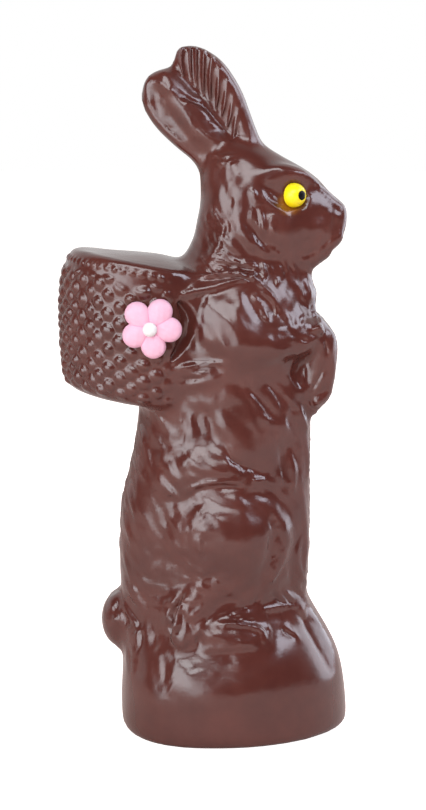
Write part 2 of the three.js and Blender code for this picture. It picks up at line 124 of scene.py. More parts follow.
# %% Skins of rings
def skin(rings):
    """Points and triangles of rings (n, m, 3): n rings of m points, with a fan at each end."""
    rings = np.asarray(rings, float)
    n, m = rings.shape[:2]
    points = np.concatenate([rings.reshape(-1, 3), [rings[0].mean(0), rings[-1].mean(0)]])
    i, j = np.meshgrid(np.arange(n - 1), np.arange(m), indexing="ij")
    a, b = i * m + j, i * m + (j + 1) % m
    walls = np.stack([a, b, b + m, a, b + m, a + m], axis=-1).reshape(-1, 3)
    ring = np.arange(m)
    following = (ring + 1) % m
    last = (n - 1) * m
    low = np.stack([np.full(m, n * m), following, ring], axis=-1)
    high = np.stack([np.full(m, n * m + 1), last + ring, last + following], axis=-1)
    triangles = np.concatenate([walls, low, high])
    corner = points[triangles]
    volume = np.einsum("ij,ij->i", corner[:, 0], np.cross(corner[:, 1], corner[:, 2])).sum()
    return points, triangles if volume > 0 else triangles[:, ::-1]


def mirrored(shape):
    """The same skin on the other side of the parting plane Y = 0, still facing outwards."""
    points, triangles = shape
    return points * (1, -1, 1), triangles[:, ::-1]


def joined(shapes):
    """Several skins as one list of points and one of triangles."""
    offsets = np.cumsum([0] + [len(points) for points, _ in shapes[:-1]])
    points = np.concatenate([points for points, _ in shapes])
    triangles = np.concatenate([t + offset for (_, t), offset in zip(shapes, offsets)])
    return points, triangles


def new_object(name, points, face_groups):
    """A Blender object from points in millimetres and groups of faces of one size each."""
    faces = [face for group in face_groups for face in group.tolist()]
    mesh = bpy.data.meshes.new(name)
    mesh.from_pydata((np.asarray(points) * MM).tolist(), [], faces)
    mesh.polygons.foreach_set("use_smooth", np.ones(len(mesh.polygons), bool))
    mesh.update()
    thing = bpy.data.objects.new(name, mesh)
    bpy.context.scene.collection.objects.link(thing)
    return thing


def swell(value, exponent):
    """|value| to a power, with its sign kept: it turns a circle into a rounder or boxier oval."""
    return np.sign(value) * np.abs(value) ** exponent


# %% [markdown]
# The figure is drawn as a sculptor would build it: a trunk, then thighs, legs, arms, cheeks, ears,
# straps, the basket and the tail, each a plain closed form that sinks into its neighbours. Both
# halves of the mould are alike, so each form beside the middle is made once and mirrored. The same
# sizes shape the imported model, so the two agree.

# %% Forms that the figure is built from
def ball(centre, radii, turn=0.0, around=48, rows=32):
    """An egg: a sphere of latitude rings, stretched by radii along X, Y and Z, then turned in
    the side view by `turn` degrees and moved to centre."""
    lat = np.linspace(0.0, np.pi, rows + 1)[1:-1, None]
    lon = np.linspace(0.0, 2 * np.pi, around, endpoint=False)[None, :]
    unit = [np.sin(lat) * np.cos(lon), np.sin(lat) * np.sin(lon), np.cos(lat) + 0 * lon]
    x, y, z = (part * radius for part, radius in zip(unit, radii))
    c, s = math.cos(math.radians(turn)), math.sin(math.radians(turn))
    return skin(np.stack([x * c + z * s, y, z * c - x * s], axis=-1) + centre)


DOME_RINGS = 6


def limb(rows, depth=1.0, around=28, steps=28):
    """A rounded limb along a curve through rows of x, y, z, radius.

    Each ring is a circle across the curve, scaled by `depth` sideways, and each end is a dome:
    there the radius closes as a quarter circle while the curve runs straight on.
    """
    rows = np.asarray(rows, float)
    curve = curve_through(np.column_stack([np.linspace(0, 1, len(rows)), rows]))
    t = np.linspace(0.0, 1.0, steps + 1)
    bow = np.linspace(0.0, np.pi / 2, DOME_RINGS + 1)[1:]
    t = np.concatenate([np.zeros(DOME_RINGS), t, np.ones(DOME_RINGS)])
    beyond = np.concatenate([-np.sin(bow[::-1]), np.zeros(steps + 1), np.sin(bow)])
    share = np.concatenate([np.cos(bow[::-1]), np.ones(steps + 1), np.cos(bow)])
    share = np.maximum(share, 0.02)
    at, ahead, behind = curve(t), curve(np.minimum(t + 0.01, 1)), curve(np.maximum(t - 0.01, 0))
    along = (ahead - behind)[:, :3]
    along /= np.linalg.norm(along, axis=1, keepdims=True)
    across = np.cross(along, (0, 1, 0))
    across /= np.linalg.norm(across, axis=1, keepdims=True)
    out = np.cross(across, along)
    radius = at[:, 3:4]
    centre = at[:, :3] + along * beyond[:, None] * radius
    angle = np.linspace(0, 2 * np.pi, around, endpoint=False)[None, :, None]
    rim = np.cos(angle) * across[:, None] + np.sin(angle) * out[:, None] * depth
    return skin(centre[:, None] + rim * (radius * share[:, None])[:, None])


def ovals(z, back, wide, front, half, back_power, front_power, around):
    """Level rings of two half ovals that meet at the widest place, for arrays of those sizes.

    With angle a, x = wide + reach * cos(a)^(2/p) and y = half * sin(a)^(2/p).
    """
    angle = np.linspace(0, 2 * np.pi, around, endpoint=False)[None, :]
    c, s = np.cos(angle), np.sin(angle)
    z, back, wide, front, half = (v[:, None] for v in (z, back, wide, front, half))
    p = 2 / np.where(c < 0, back_power[:, None], front_power[:, None])
    reach = np.where(c < 0, wide - back, front - wide)
    return np.stack([wide + reach * swell(c, p), half * swell(s, p), z + 0 * c], axis=-1)


# %% Trunk, from the sole of the mound to the crown
MOUND_HALF, CHEST_HALF, HEAD_HALF = 45.9, 28.0, 18.8

TRUNK_LEVELS = [  # height, back, widest place, front, half width, powers of the two ovals
    (0.0, -35.6, 5.0, 63.0, MOUND_HALF - 1.0, 2.4, 1.95),
    (1.6, -36.9, 5.0, 64.0, MOUND_HALF, 2.4, 1.95),
    (13.0, -37.4, 5.0, 63.5, MOUND_HALF, 2.4, 1.95),
    (25.0, -36.9, 5.0, 61.8, MOUND_HALF - 0.6, 2.35, 1.95),
    (34.0, -36.6, 6.0, 59.2, MOUND_HALF - 3.2, 2.3, 1.95),
    (41.0, -36.8, 7.0, 55.8, MOUND_HALF - 7.0, 2.25, 2.0),
    (46.0, -37.0, 8.0, 53.0, MOUND_HALF - 10.2, 2.2, 2.0),
    (52.0, -37.1, 8.0, 49.4, CHEST_HALF + 5.0, 2.2, 2.0),
    (60.0, -37.3, 8.0, 45.6, CHEST_HALF + 4.0, 2.2, 2.1),
    (73.0, -37.9, 8.0, 46.5, CHEST_HALF + 3.4, 2.2, 2.3),
    (100.0, -36.6, 8.0, 46.5, CHEST_HALF + 3.0, 2.2, 2.3),
    (122.0, -31.6, 8.0, 46.5, CHEST_HALF + 2.4, 2.2, 2.3),
    (141.0, -29.0, 8.0, 46.9, CHEST_HALF + 1.6, 2.2, 2.3),
    (165.0, -25.0, 8.0, 45.8, CHEST_HALF + 0.6, 2.2, 2.2),
    (184.0, -19.0, 9.0, 48.2, CHEST_HALF, 2.2, 2.1),
    (194.0, -15.0, 10.0, 48.8, CHEST_HALF - 2.4, 2.1, 2.1),
    (201.5, -14.4, 13.0, 46.4, HEAD_HALF + 2.2, 2.1, 2.1),
    (206.0, -12.0, 16.0, 48.6, HEAD_HALF, 2.1, 2.0),
    (211.0, -8.0, 19.0, 54.3, HEAD_HALF - 0.4, 2.1, 2.0),
    (217.5, -4.8, 22.0, 60.4, HEAD_HALF, 2.1, 2.0),
    (225.0, -3.2, 23.0, 62.2, HEAD_HALF, 2.1, 2.0),
    (231.0, -2.0, 23.0, 61.5, HEAD_HALF, 2.1, 1.95),
    (237.0, -1.6, 22.0, 54.6, HEAD_HALF - 0.4, 2.1, 1.95),
    (243.0, -1.9, 20.0, 49.2, HEAD_HALF - 1.4, 2.1, 2.0),
    (248.0, -1.4, 18.0, 41.8, HEAD_HALF - 3.0, 2.1, 2.0),
    (252.0, -1.0, 15.0, 34.4, HEAD_HALF - 5.0, 2.1, 2.0),
    (257.0, -0.4, 12.0, 26.4, HEAD_HALF - 8.8, 2.1, 2.0),
    (261.0, 0.0, 10.0, 22.0, HEAD_HALF - 14.3, 2.1, 2.0),
]


def trunk():
    """Level ovals every 2 mm up the figure, their sizes read off smooth curves of height."""
    z = np.concatenate([[0.0, 0.5, 1.0, 1.6], np.linspace(3.0, 261.0, 130)])
    sizes = curve_through(TRUNK_LEVELS)(z).T
    return skin(ovals(z, *sizes, around=120))


# %% Hind legs, front legs and straps
def hind_quarters():
    """Thigh, the lower leg down to its round heel, the long foot and the roll of fur above."""
    thigh = ball((10, 20, 88), (28.8, 19, 28.5), 12)
    shin = limb([(2, 31, 68, 7), (-6, 35, 58, 5.8), (-10, 36.6, 47, 4.8)])
    foot = limb([(4.5, 34.8, 47, 6.8), (12.5, 36, 47, 7.4), (21, 34.2, 46.4, 6.2)], 0.95)
    roll = limb([(-16, 20, 113, 6.5), (-6, 25, 118.6, 9.4), (6, 26, 119.4, 9.8),
                 (17, 24, 115.5, 7.6), (26, 20, 111, 5.4)])
    return [thigh, shin, foot, roll]


def front_leg():
    """Shoulder, bent elbow, the forearm held level, and the paw that hangs from it."""
    shoulder = ball((9, 18, 181), (16.5, 15.6, 18), -10)
    upper_arm = limb([(8, 21.5, 183, 11.5), (13, 23.5, 174, 11), (19, 24, 171.5, 10)], 0.95)
    forearm = limb([(16, 24, 171.5, 9.8), (27, 22.6, 173.4, 9.6), (38, 17.6, 175.2, 8.4),
                    (47, 11, 176, 7)])
    paw = limb([(48, 8, 177.8, 6), (50.8, 8.2, 171.5, 7.4), (50.4, 8.2, 161, 7.3),
                (49.2, 7.6, 151, 6.8), (46.8, 6.4, 145.5, 4.6)], 1.15)
    return [shoulder, upper_arm, forearm, paw]


def straps():
    """The strap over the shoulder from the rim of the basket, and the one round the waist."""
    shoulder = limb([(-12, 20.5, 196, 3.2), (2, 24, 199.6, 3.4), (16, 22.6, 200.6, 3.4),
                     (26, 21.5, 195.5, 3.2), (31.5, 21, 187, 3)])
    waist = limb([(-17, 19.5, 160.5, 3), (-7, 25.6, 158, 3.6), (3, 28, 159.4, 3.4),
                  (12, 27.6, 165, 2.6)])
    return [shoulder, waist]


# %% Face and ears
def face():
    """Cheek, muzzle pad, chin and the brow over the eye."""
    cheek = ball((29, 8, 221), (16, 13.2, 15))
    pad = ball((51, 4.4, 218.6), (9.8, 7.2, 7.6))
    chin = ball((45.4, 3, 212.6), (9.6, 8.4, 5.6), 22)
    brow = limb([(21, 13.2, 241.5, 4.4), (31, 13, 244.8, 4.6), (40, 10.4, 243.6, 4.2),
                 (47, 7.2, 239, 3.4)])
    return [cheek, pad, chin, brow]


TALL_EAR_BACK = [(2, 244), (-2, 262), (-9, 277), (-14.4, 286), (-13.9, 292), (-11.4, 298.2),
                 (-6.5, 300)]
TALL_EAR_FRONT = [(30.4, 247), (23.4, 262), (19.8, 271.5), (15.8, 281.4), (8.9, 291.8),
                  (1.4, 297.4), (-6.5, 300)]
TALL_EAR_SECTION = [(0, 0), (0.06, 3), (0.3, 3), (0.45, 3.8), (0.62, 5.4), (0.78, 7), (0.9, 6.8),
                    (0.97, 4.6), (1, 0)]
LOW_EAR_BACK = [(-0.6, 243), (-5.4, 250.4), (-12.7, 256.4), (-21.2, 264.6), (-26.6, 273.6),
                (-26.9, 281), (-24.4, 286.4), (-20, 289)]
LOW_EAR_FRONT = [(25, 245), (12.4, 259.8), (4.7, 270.7), (-2.2, 277.6), (-9.4, 285.6),
                 (-14.4, 289.8), (-20, 289)]
LOW_EAR_SECTION = [(0, 0), (0.04, 4.4), (0.12, 6.6), (0.24, 5.4), (0.4, 7.2), (0.6, 10),
                   (0.76, 8.4), (0.92, 5.6), (1, 0)]


def ear(back_edge, front_edge, section):
    """A flat, hollowed ear between two edges given in the side view from root to tip.

    The point at t along both edges and v across them lies on the straight line between the
    edges, and stands off the parting plane by the section's half thickness, which fades at the
    tip.
    """
    t = np.linspace(0.0, 1.0, 70)
    v = 0.5 - 0.5 * np.cos(np.linspace(0, np.pi, 45))
    back, front = path_through(back_edge)(t), path_through(front_edge)(t)
    flat = back[:, None] * (1 - v[None, :, None]) + front[:, None] * v[None, :, None]
    fade = np.sqrt(np.maximum(1 - t**6, 0)) * 0.96 + 0.04
    half = np.maximum(curve_through(section)(v)[None, :, 0] * fade[:, None], 0.05)
    half[:, 0] = half[:, -1] = 0.0
    near = np.stack([flat[..., 0], half, flat[..., 1]], axis=-1)
    far = near[:, -2:0:-1] * (1, -1, 1)
    return skin(np.concatenate([near, far], axis=1))


# %% Basket and tail
BASKET_MIDDLE, BASKET_FRONT_REACH, BASKET_POWER = -28.0, 35.0, 2.15
BASKET_HALF = 32.0
BASKET_WALL = curve_through([  # share of the height, back, half width
    (0, -52, BASKET_HALF - 8), (0.02, -57.6, BASKET_HALF - 4.5), (0.06, -60.4, BASKET_HALF - 2),
    (0.19, -62.2, BASKET_HALF - 0.4), (0.42, -62.9, BASKET_HALF + 0.4),
    (0.6, -62.9, BASKET_HALF + 0.4), (0.78, -62, BASKET_HALF), (0.9, -60.4, BASKET_HALF - 0.4),
    (0.96, -58.2, BASKET_HALF - 1), (1, -55, BASKET_HALF - 3),
])
FILLING_CROWN = 4.2
CROWN_START, CROWN_LENGTH = -58.0, 40.0  # along X, where the crown of the filling grows


def basket_bottom(x):
    """Height of the tilted bottom of the basket."""
    return 149.0 - 0.16 * (x + 48.0)


def basket_rim(x):
    """Height of the sloping rim of the basket."""
    return 212.2 - 0.19 * (x + 52.0)


def basket():
    """Ovals that fan from the tilted bottom to the sloping rim, then the domed filling.

    A point of the filling at a share of the way from the middle to the rim stands over the
    plane of the rim by crown * (1 - share^2), where the crown grows towards the rabbit.
    """
    share = np.concatenate([[0, 0.005, 0.01], np.linspace(0.02, 0.98, 60), [0.99, 0.995, 1]])
    back, half = BASKET_WALL(share).T
    size = np.ones_like(share)
    rings = ovals(
        0 * size, back, BASKET_MIDDLE * size, (BASKET_MIDDLE + BASKET_FRONT_REACH) * size, half,
        BASKET_POWER * size, BASKET_POWER * size, around=140,
    )
    low, high = basket_bottom(rings[..., 0]), basket_rim(rings[..., 0])
    rings[..., 2] = low + (high - low) * share[:, None]
    inward = np.linspace(0.96, 0.04, 16)[:, None]
    x = BASKET_MIDDLE + (rings[-1, :, 0] - BASKET_MIDDLE) * inward
    crown = FILLING_CROWN * np.clip((x - CROWN_START) / CROWN_LENGTH, 0, 1) * (1 - inward**2)
    filling = np.stack([x, rings[-1, :, 1] * inward, basket_rim(x) + crown], axis=-1)
    return skin(np.concatenate([rings, filling]))


def tail():
    return ball((-37.6, 0, 46.5), (8.9, 12.4, 12.8))


# %% [markdown]
# The forms are then fused into one skin. A Boolean union would leave a sharp crease along every
# seam, and chocolate from a mould has none. A voxel remesh fuses them and gives an even net of
# squares, which the next steps can smooth and carve.

# %% Fuse the forms
VOXEL = 1.5

both_sides = hind_quarters() + front_leg() + straps() + face()
shapes = [trunk(), basket(), tail(), ear(TALL_EAR_BACK, TALL_EAR_FRONT, TALL_EAR_SECTION)]
shapes.append(ear(LOW_EAR_BACK, LOW_EAR_FRONT, LOW_EAR_SECTION))
shapes += both_sides + [mirrored(shape) for shape in both_sides]
rough_points, rough_faces = joined(shapes)
rough = new_object("rough_forms", rough_points, [rough_faces])


def voxel_remeshed(thing, size):
    """Points in millimetres and four-cornered faces of the thing's outer skin, as one net."""
    remesh = thing.modifiers.new("fuse", "REMESH")
    remesh.mode = "VOXEL"
    remesh.voxel_size = size * MM
    graph = bpy.context.evaluated_depsgraph_get()
    mesh = bpy.data.meshes.new_from_object(thing.evaluated_get(graph))
    points = np.empty(len(mesh.vertices) * 3, np.float32)
    mesh.vertices.foreach_get("co", points)
    corners = np.empty(len(mesh.polygons) * 4, np.int32)
    mesh.polygons.foreach_get("vertices", corners)
    bpy.data.meshes.remove(mesh)
    return points.reshape(-1, 3).astype(float) / MM, corners.reshape(-1, 4).astype(np.int64)


points, faces = voxel_remeshed(rough, VOXEL)
bpy.data.objects.remove(rough)
print("fused skin:", len(points), "points,", len(faces), "faces")


# %% Work on a net of points
class Net:
    """A net of points and faces, with what smoothing and carving need to know about it."""

    def __init__(self, points, face_groups):
        self.points = points
        self.faces = face_groups
        sides = [np.stack([f, np.roll(f, -1, axis=1)], axis=-1).reshape(-1, 2) for f in self.faces]
        self.edges = np.unique(np.sort(np.concatenate(sides), axis=1), axis=0)
        self.share = 1.0 / np.bincount(self.edges.ravel(), minlength=len(points))

    def pull(self):
        """For each point, the way from it to the mean of its neighbours."""
        a, b = self.edges.T
        count = len(self.points)
        total = np.empty_like(self.points)
        for axis in range(3):
            value = self.points[:, axis]
            total[:, axis] = np.bincount(a, value[b], count) + np.bincount(b, value[a], count)
        return total * self.share[:, None] - self.points

    def normals(self):
        """The outward direction at each point: the sum of its faces' normals, at length 1."""
        total = np.zeros_like(self.points)
        for faces in self.faces:
            corner = self.points[faces]
            ahead = np.roll(corner, -1, axis=1)
            normal = np.cross(corner, ahead).sum(axis=1)
            for k in range(faces.shape[1]):
                for axis in range(3):
                    total[:, axis] += np.bincount(faces[:, k], normal[:, axis], len(total))
        return total / np.maximum(np.linalg.norm(total, axis=1, keepdims=True), 1e-12)


def soften(net, times, amount=0.5):
    """Moves each point towards its neighbours, many times, by a share that may differ by point."""
    amount = np.broadcast_to(amount, len(net.points))[:, None]
    for _ in range(times):
        net.points += amount * net.pull()


def fill_valleys(net, times, amount):
    """Moves points outwards only, and only where their neighbours stand higher.

    This runs chocolate into the creases between forms and leaves every crest as it is.
    """
    amount = np.broadcast_to(amount, len(net.points))[:, None]
    for step in range(times):
        if step % 4 == 0:
            normal = net.normals()
        pull = net.pull()
        rise = np.maximum(np.einsum("ij,ij->i", pull, normal), 0.0)[:, None]
        net.points += amount * (rise * normal)


MELTED = [  # x, z and radius of the places where forms run into each other
    (5, 184, 19), (20, 172, 13), (-6, 60, 19), (13, 47, 17), (-2, 117, 20), (18, 118, 14),
    (2, 200, 12), (-12, 160, 10),
]


def melted(net, places, times):
    """Softens the sides of the figure strongly at some places, and leaves its outline alone."""
    x, _, z = net.points.T
    sideways = smooth_step(np.abs(net.normals()[:, 1]), 0.25, 0.6)
    share = np.zeros(len(net.points))
    for a, b, radius in places:
        share = np.maximum(share, smooth_step(np.hypot(x - a, z - b), radius, radius * 0.4))
    soften(net, times, 0.5 * share * sideways)


net = Net(points, [faces])
soften(net, times=3)
on_ear = smooth_step(net.points[:, 2], 246, 256)
fill_valleys(net, times=10, amount=0.6 * (1 - 0.9 * on_ear))
melted(net, MELTED, times=70)
print("softened: box", net.points.min(0).round(1), net.points.max(0).round(1))


# %% [markdown]
# The fur, the rims of the ears and the marks of the face are low relief. In a two-part mould every
# bit of relief has to come out straight along Y, so it is a map over the side view: one height for
# each place in X and Z, the same on both sides. A map is a grid of numbers that lines are drawn
# into, with a brush whose section can be a ridge, a round bar or a soft swelling. A line is a few
# points and a width. The lines were laid over the photograph and are in millimetres.

# %% A map over the side view
CELL = 0.25
MAP_LOW = np.array([-68.0, 0.0])
MAP_SIZE = (544, 1216)


def blank_map():
    return np.zeros(MAP_SIZE)


def read_map(field, x, z):
    """The map's height at each x and z, with the four nearest cells mixed by distance."""
    u = np.clip((x - MAP_LOW[0]) / CELL, 0, MAP_SIZE[0] - 1.001)
    v = np.clip((z - MAP_LOW[1]) / CELL, 0, MAP_SIZE[1] - 1.001)
    i, j = u.astype(int), v.astype(int)
    u, v = u - i, v - j
    low = field[i, j] * (1 - v) + field[i, j + 1] * v
    high = field[i + 1, j] * (1 - v) + field[i + 1, j + 1] * v
    return low * (1 - u) + high * u


def blurred(field, cells):
    """The map averaged over squares of 2 * cells + 1 cells a side."""
    width = 2 * cells + 1
    total = np.cumsum(np.pad(field, [(cells + 1, cells), (0, 0)], mode="edge"), axis=0)
    field = (total[width:] - total[:-width]) / width
    total = np.cumsum(np.pad(field, [(0, 0), (cells + 1, cells)], mode="edge"), axis=1)
    return (total[:, width:] - total[:, :-width]) / width


def twice_blurred(field, cells):
    return blurred(blurred(field, cells), cells)


def ridge(u):
    """A ridge with a creased foot: 1 - u^2, where u is 0 on the line and 1 at the edge."""
    return np.maximum(1 - u * u, 0)


def bar(u):
    """A round bar: the half circle sqrt(1 - u^2)."""
    return np.sqrt(np.maximum(1 - u * u, 0))


def swelling(u):
    """A soft swelling with no crease: (1 - u^2)^2."""
    return np.maximum(1 - u * u, 0) ** 2


def plateau(u):
    """Flat on top with steep walls."""
    return smooth_step(u, 1.0, 0.3)


def even(t):
    return np.ones_like(t)


def lock_width(t):
    """The outline of a lock of hair, which opens quickly and draws out to a point."""
    return np.sin(np.pi * t**0.7) ** 0.6


def lock_rise(t):
    """A lock lies flush at its root and lifts towards its tip."""
    return 0.25 + 0.75 * smooth_step(t, 0.0, 0.6)


def draw(field, points, width, height, section=ridge, outline=even, rise=even):
    """Draws one line into a map, which keeps the higher of what is there and the new line.

    With d the distance to the line and t the place along it, the height is
    height * rise(t) * section(d / (width / 2 * outline(t))).
    """
    t = np.linspace(0.0, 1.0, 48)
    line = path_through(points)(t)
    corner = np.floor((line.min(0) - width / 2 - MAP_LOW) / CELL).astype(int)
    corner = np.maximum(corner, 0)
    end = np.ceil((line.max(0) + width / 2 - MAP_LOW) / CELL).astype(int) + 1
    i, j = np.meshgrid(*(np.arange(a, min(b, n)) for a, b, n in zip(corner, end, MAP_SIZE)),
                       indexing="ij")
    place = np.stack([i, j], axis=-1) * CELL + MAP_LOW
    away = ((place[:, :, None] - line) ** 2).sum(-1)
    nearest = away.argmin(-1)
    distance = np.sqrt(np.take_along_axis(away, nearest[..., None], -1)[..., 0])
    half = np.maximum(width / 2 * outline(t), 0.02)[nearest]
    value = height * rise(t)[nearest] * section(distance / half)
    field[i, j] = np.maximum(field[i, j], value)


def draw_all(field, lines, height, widen=1.0, **brush):
    """Draws lines given as points followed by a width, which `widen` multiplies."""
    for *points, width in lines:
        draw(field, points, width * widen, height, **brush)


def lens(t):
    """A lens outline: pointed at both ends and widest in the middle."""
    return np.sin(np.pi * t) ** 0.7


SOFT_LOCK = dict(section=swelling, outline=lock_width, rise=lock_rise)
LOBE = dict(section=swelling, outline=lens, rise=lens)


# %% [markdown]
# The coat is the hardest part to make by hand. Single hairs would be wrong: a mould carver cuts
# short tapered locks, which lie flush at the root and stand proud at the tip, so each one catches
# a streak of light. The locks that can be told apart in the photograph are listed here by region.

# %% Locks of the head and the neck
NECK = [
    ((1, 228), (2.5, 224), (5.5, 220.5), (6.5, 217), (9, 213), 2.4),
    ((4, 230.5), (5, 227.5), (7, 224.5), (9.5, 222), 2.2),
    ((8.5, 220.5), (9, 217.5), (11.5, 215), (14.5, 212), (18.5, 209), 2.6),
    ((1.5, 220), (3.5, 216.5), (6, 213.5), (9.5, 211), (12.5, 209), 2.2),
    ((2, 216), (4, 213), (7, 210.5), 1.1),
    ((2, 212.5), (5, 210), (8.5, 209), (11.5, 208), 1.8),
    ((-0.5, 210), (1.5, 207), (4, 204), (7, 202), 1.9),
    ((3.5, 209.5), (5.5, 207.5), (9.5, 206.5), 1.9),
    ((15.5, 209), (18.5, 207), (21.5, 207.5), 1.5),
    ((13.5, 207.5), (15.5, 206), (17.5, 206), 0.9),
    ((13, 206), (15.5, 203), (18.5, 201), 1.8),
    ((21.5, 207), (21.5, 204), (20.5, 201.5), 1.8),
    ((25, 207.5), (25.5, 204), (26, 200), 2.2),
    ((6, 205), (9, 204), (11.5, 202.5), 2.2),
    ((17, 220), (18.5, 216.5), (21, 211.5), 2.4),
    ((23.5, 231), (24.5, 226.5), (25.5, 219.5), 2.4),
    ((28.5, 228.5), (29, 224), (30, 218), 2.2),
    ((20.5, 238.5), (22, 234.5), (23.5, 231), 3.3),
    ((20.5, 231), (20.5, 227.5), (20.5, 223.5), 1.5),
]
NAPE = [
    ((8.5, 240), (8, 235), (9.5, 230.5), (12, 226), 6.5),
    ((14.5, 238.5), (15.5, 236), (17, 233.5), 3.9),
    ((15, 233), (15.5, 230), (15, 226.5), 3.9),
    ((13.5, 226), (14.5, 222.5), (15, 219), 3.9),
    ((10, 247.5), (11.5, 244.5), (12.5, 240.5), 7.3),
]
NECK_DARK = [
    ((3, 229), (4.5, 225.5), (7.5, 222), (8, 219), (9.5, 216), 1.3),
    ((5.5, 230), (7.5, 226), (10, 221.5), (13, 216), (16.5, 212), (20, 210), 1.8),
    ((1.5, 217), (4, 214.5), (6.5, 211), 0.5),
    ((1, 213.5), (4, 210.5), (8.5, 209), 0.6),
    ((0.5, 208), (2.5, 205), (5, 202.5), 0.7),
    ((18, 239), (18.5, 234), (18.5, 227.5), (20, 221.5), 1.9),
    ((23.5, 223), (26, 217), (30, 213.5), 2.6),
    ((20, 209), (20, 206), (19, 202), 1.5),
    ((23.5, 208), (23.5, 204), (23.5, 199.5), 1.1),
]
THROAT = [
    ((21.5, 229), (22, 225.5), (23.5, 220), 0.9),
    ((18.5, 223), (21.5, 218), (23, 214), 1.1),
    ((26, 214.5), (30, 211.5), (33.5, 210), 2.2),
    ((27, 207), (28, 205), (29.5, 202.5), 1.3),
    ((31, 207), (33, 204), (34, 201), 2.4),
    ((33.5, 210), (35, 205.5), (37, 201), (37.5, 197.5), 1.6),
    ((36.5, 208), (39, 204), (40, 199.5), 1.6),
    ((31.5, 201), (31.5, 197.5), 1.3),
]

# %% Locks of the chest, the flank and the roll of fur over the haunch
CHEST = [
    ((27.5, 155), (30.5, 151), (33.5, 144.5), 4.4),
    ((17.5, 154), (21.5, 150), (24.5, 144.5), 2.0),
    ((12, 156), (14, 153), (15, 150), 2.0),
    ((34.5, 152), (37.5, 149), (40, 144.5), 2.3),
    ((39.5, 200), (41.5, 195.5), (42.5, 191), 1.5),
    ((43, 199), (45, 194), (45, 189.5), 1.6),
]
TORSO = [
    ((5, 145), (11, 135), (21, 123.5), 13.5),
    ((-8.5, 141), (-7.5, 136), (-4.5, 131), 2.3),
    ((-2, 144), (-1.5, 138.5), (1.5, 133.5), 4.7),
    ((-8.5, 129.5), (-2.5, 130.5), (3.5, 129), 2.9),
    ((23, 144), (27.5, 141.5), (32, 138.5), 3.2),
    ((23, 148.5), (26, 145), (28, 142.5), 2.7),
    ((-26.5, 130), (-24, 125.5), (-22.5, 121.5), 2.2),
]
ROLL = [
    ((-19, 123), (-8.5, 127.5), (0.5, 127), (8.5, 123), (21, 116), 5.4),
    ((-6, 124.5), (-1.5, 122), (4, 120.5), 3.4),
    ((0.5, 127), (6, 125.5), (10, 123), 3.0),
    ((-19, 122), (-13, 119.5), (-10.5, 114.5), 3.2),
    ((-4.5, 123), (-7.5, 119), (-6.5, 114.5), 2.7),
]
CREST = [
    ((-10.5, 109), (-1.5, 114), (6.5, 115), (15.5, 115), 2.7),
    ((17.5, 114.5), (24.5, 115), (31.5, 113.5), 2.3),
    ((-18.5, 115), (-15.5, 111), (-11, 107.5), 4.6),
]
CREST_DARK = [
    ((-9.5, 105.5), (-1.5, 111), (8.5, 112.5), (19, 111.5), 3.9),
    ((6.5, 134.5), (12, 124.5), (21, 119.5), (31, 117), 2.7),
    ((-15.5, 108), (-13, 105.5), (-10.5, 103.5), 3.9),
]

# %% Locks of the haunch, the leg, the foot and the tail
HAUNCH = [
    ((-17, 105.5), (-15, 102), (-12.5, 99), 2.7),
    ((0.5, 103), (3.5, 99), (8.5, 96.5), 4.4),
    ((-4.5, 98.5), (-1.5, 95), 3.6),
    ((7.5, 102), (11.5, 101.5), 2.5),
    ((22, 108.5), (26.5, 105.5), (28.5, 102.5), 4.4),
    ((22, 105.5), (24.5, 103.5), (27, 100), 2.7),
]
HAUNCH_FRONT = [
    ((27, 110.5), (32.5, 104), (36.5, 96), (37.5, 86.5), 5.4),
]
THIGH = [
    ((-21.5, 76.5), (-15, 78), (-8.5, 77), 2.8),
    ((-17.5, 73.5), (-10.5, 74.5), (-5, 72.5), 2.4),
    ((-28, 70), (-21.5, 68.5), (-14, 68), 2.6),
    ((-9.5, 81.5), (-3.5, 78.5), (0, 75.5), 2.4),
    ((-5, 84), (0, 81.5), 1.9),
    ((0.5, 70), (6, 71.5), (11, 68), 3.7),
    ((0, 72.5), (5, 74), (8.5, 73.5), 2.4),
    ((-6.5, 90), (-1.5, 88), 3.0),
    ((-32, 67), (-28, 61), (-24.5, 58), 2.8),
    ((-12, 57.5), (-11.5, 60.5), (-9, 63.5), 3.2),
    ((-7, 57.5), (-4.5, 59), (-1.5, 59), 3.2),
    ((-21.5, 47.5), (-24.5, 45), (-27, 45.5), 2.8),
]
LEG = [
    ((-11.5, 59.5), (-11.5, 54), (-9, 48.5), 8.4),
]
KNOB = [
    ((-15, 49.5), (-13.5, 48.5), 1.9),
    ((-11.5, 48), (-9, 46.5), 2.1),
]
FOOT = [
    ((7, 52.5), (8, 54.5), (9.5, 55.5), 5.0),
    ((12, 56), (15, 54), (17.5, 51.5), 1.9),
    ((16, 56.5), (18.5, 54), (20.5, 51.5), 2.8),
    ((-10.5, 64.5), (-11, 61.5), (-12, 58.5), 2.2),
    ((-6.5, 59), (-4.5, 60), (-0.5, 61), 2.2),
    ((-8.5, 61), (-6, 64), (-0.5, 66), 1.6),
    ((-27, 47), (-24.5, 45.5), (-22.5, 42.5), 2.5),
]
FOOT_ROLL = [
    ((5.5, 45.5), (10, 46.5), (15.5, 46.5), (21.5, 46), (24, 45), 2.3),
]
FOOT_TOP = [
    ((-0.5, 50.5), (5, 50.5), (12, 50), (21.5, 49), 6.1),
    ((-1, 54), (-0.5, 50.5), (-0.5, 45), 3.9),
]
FOOT_DARK = [
    ((-1, 50.5), (-2, 46.5), (-0.5, 43.5), 4.5),
    ((2, 41.5), (8, 41.5), (17, 41.5), (23.5, 42), 2.8),
    ((-16, 48), (-15, 45), (-11.5, 42.5), (-8.5, 42.5), (-5.5, 45.5), (-4.5, 49), 1.5),
    ((-8, 57), (-6.5, 54), (-6, 51), 1.3),
]
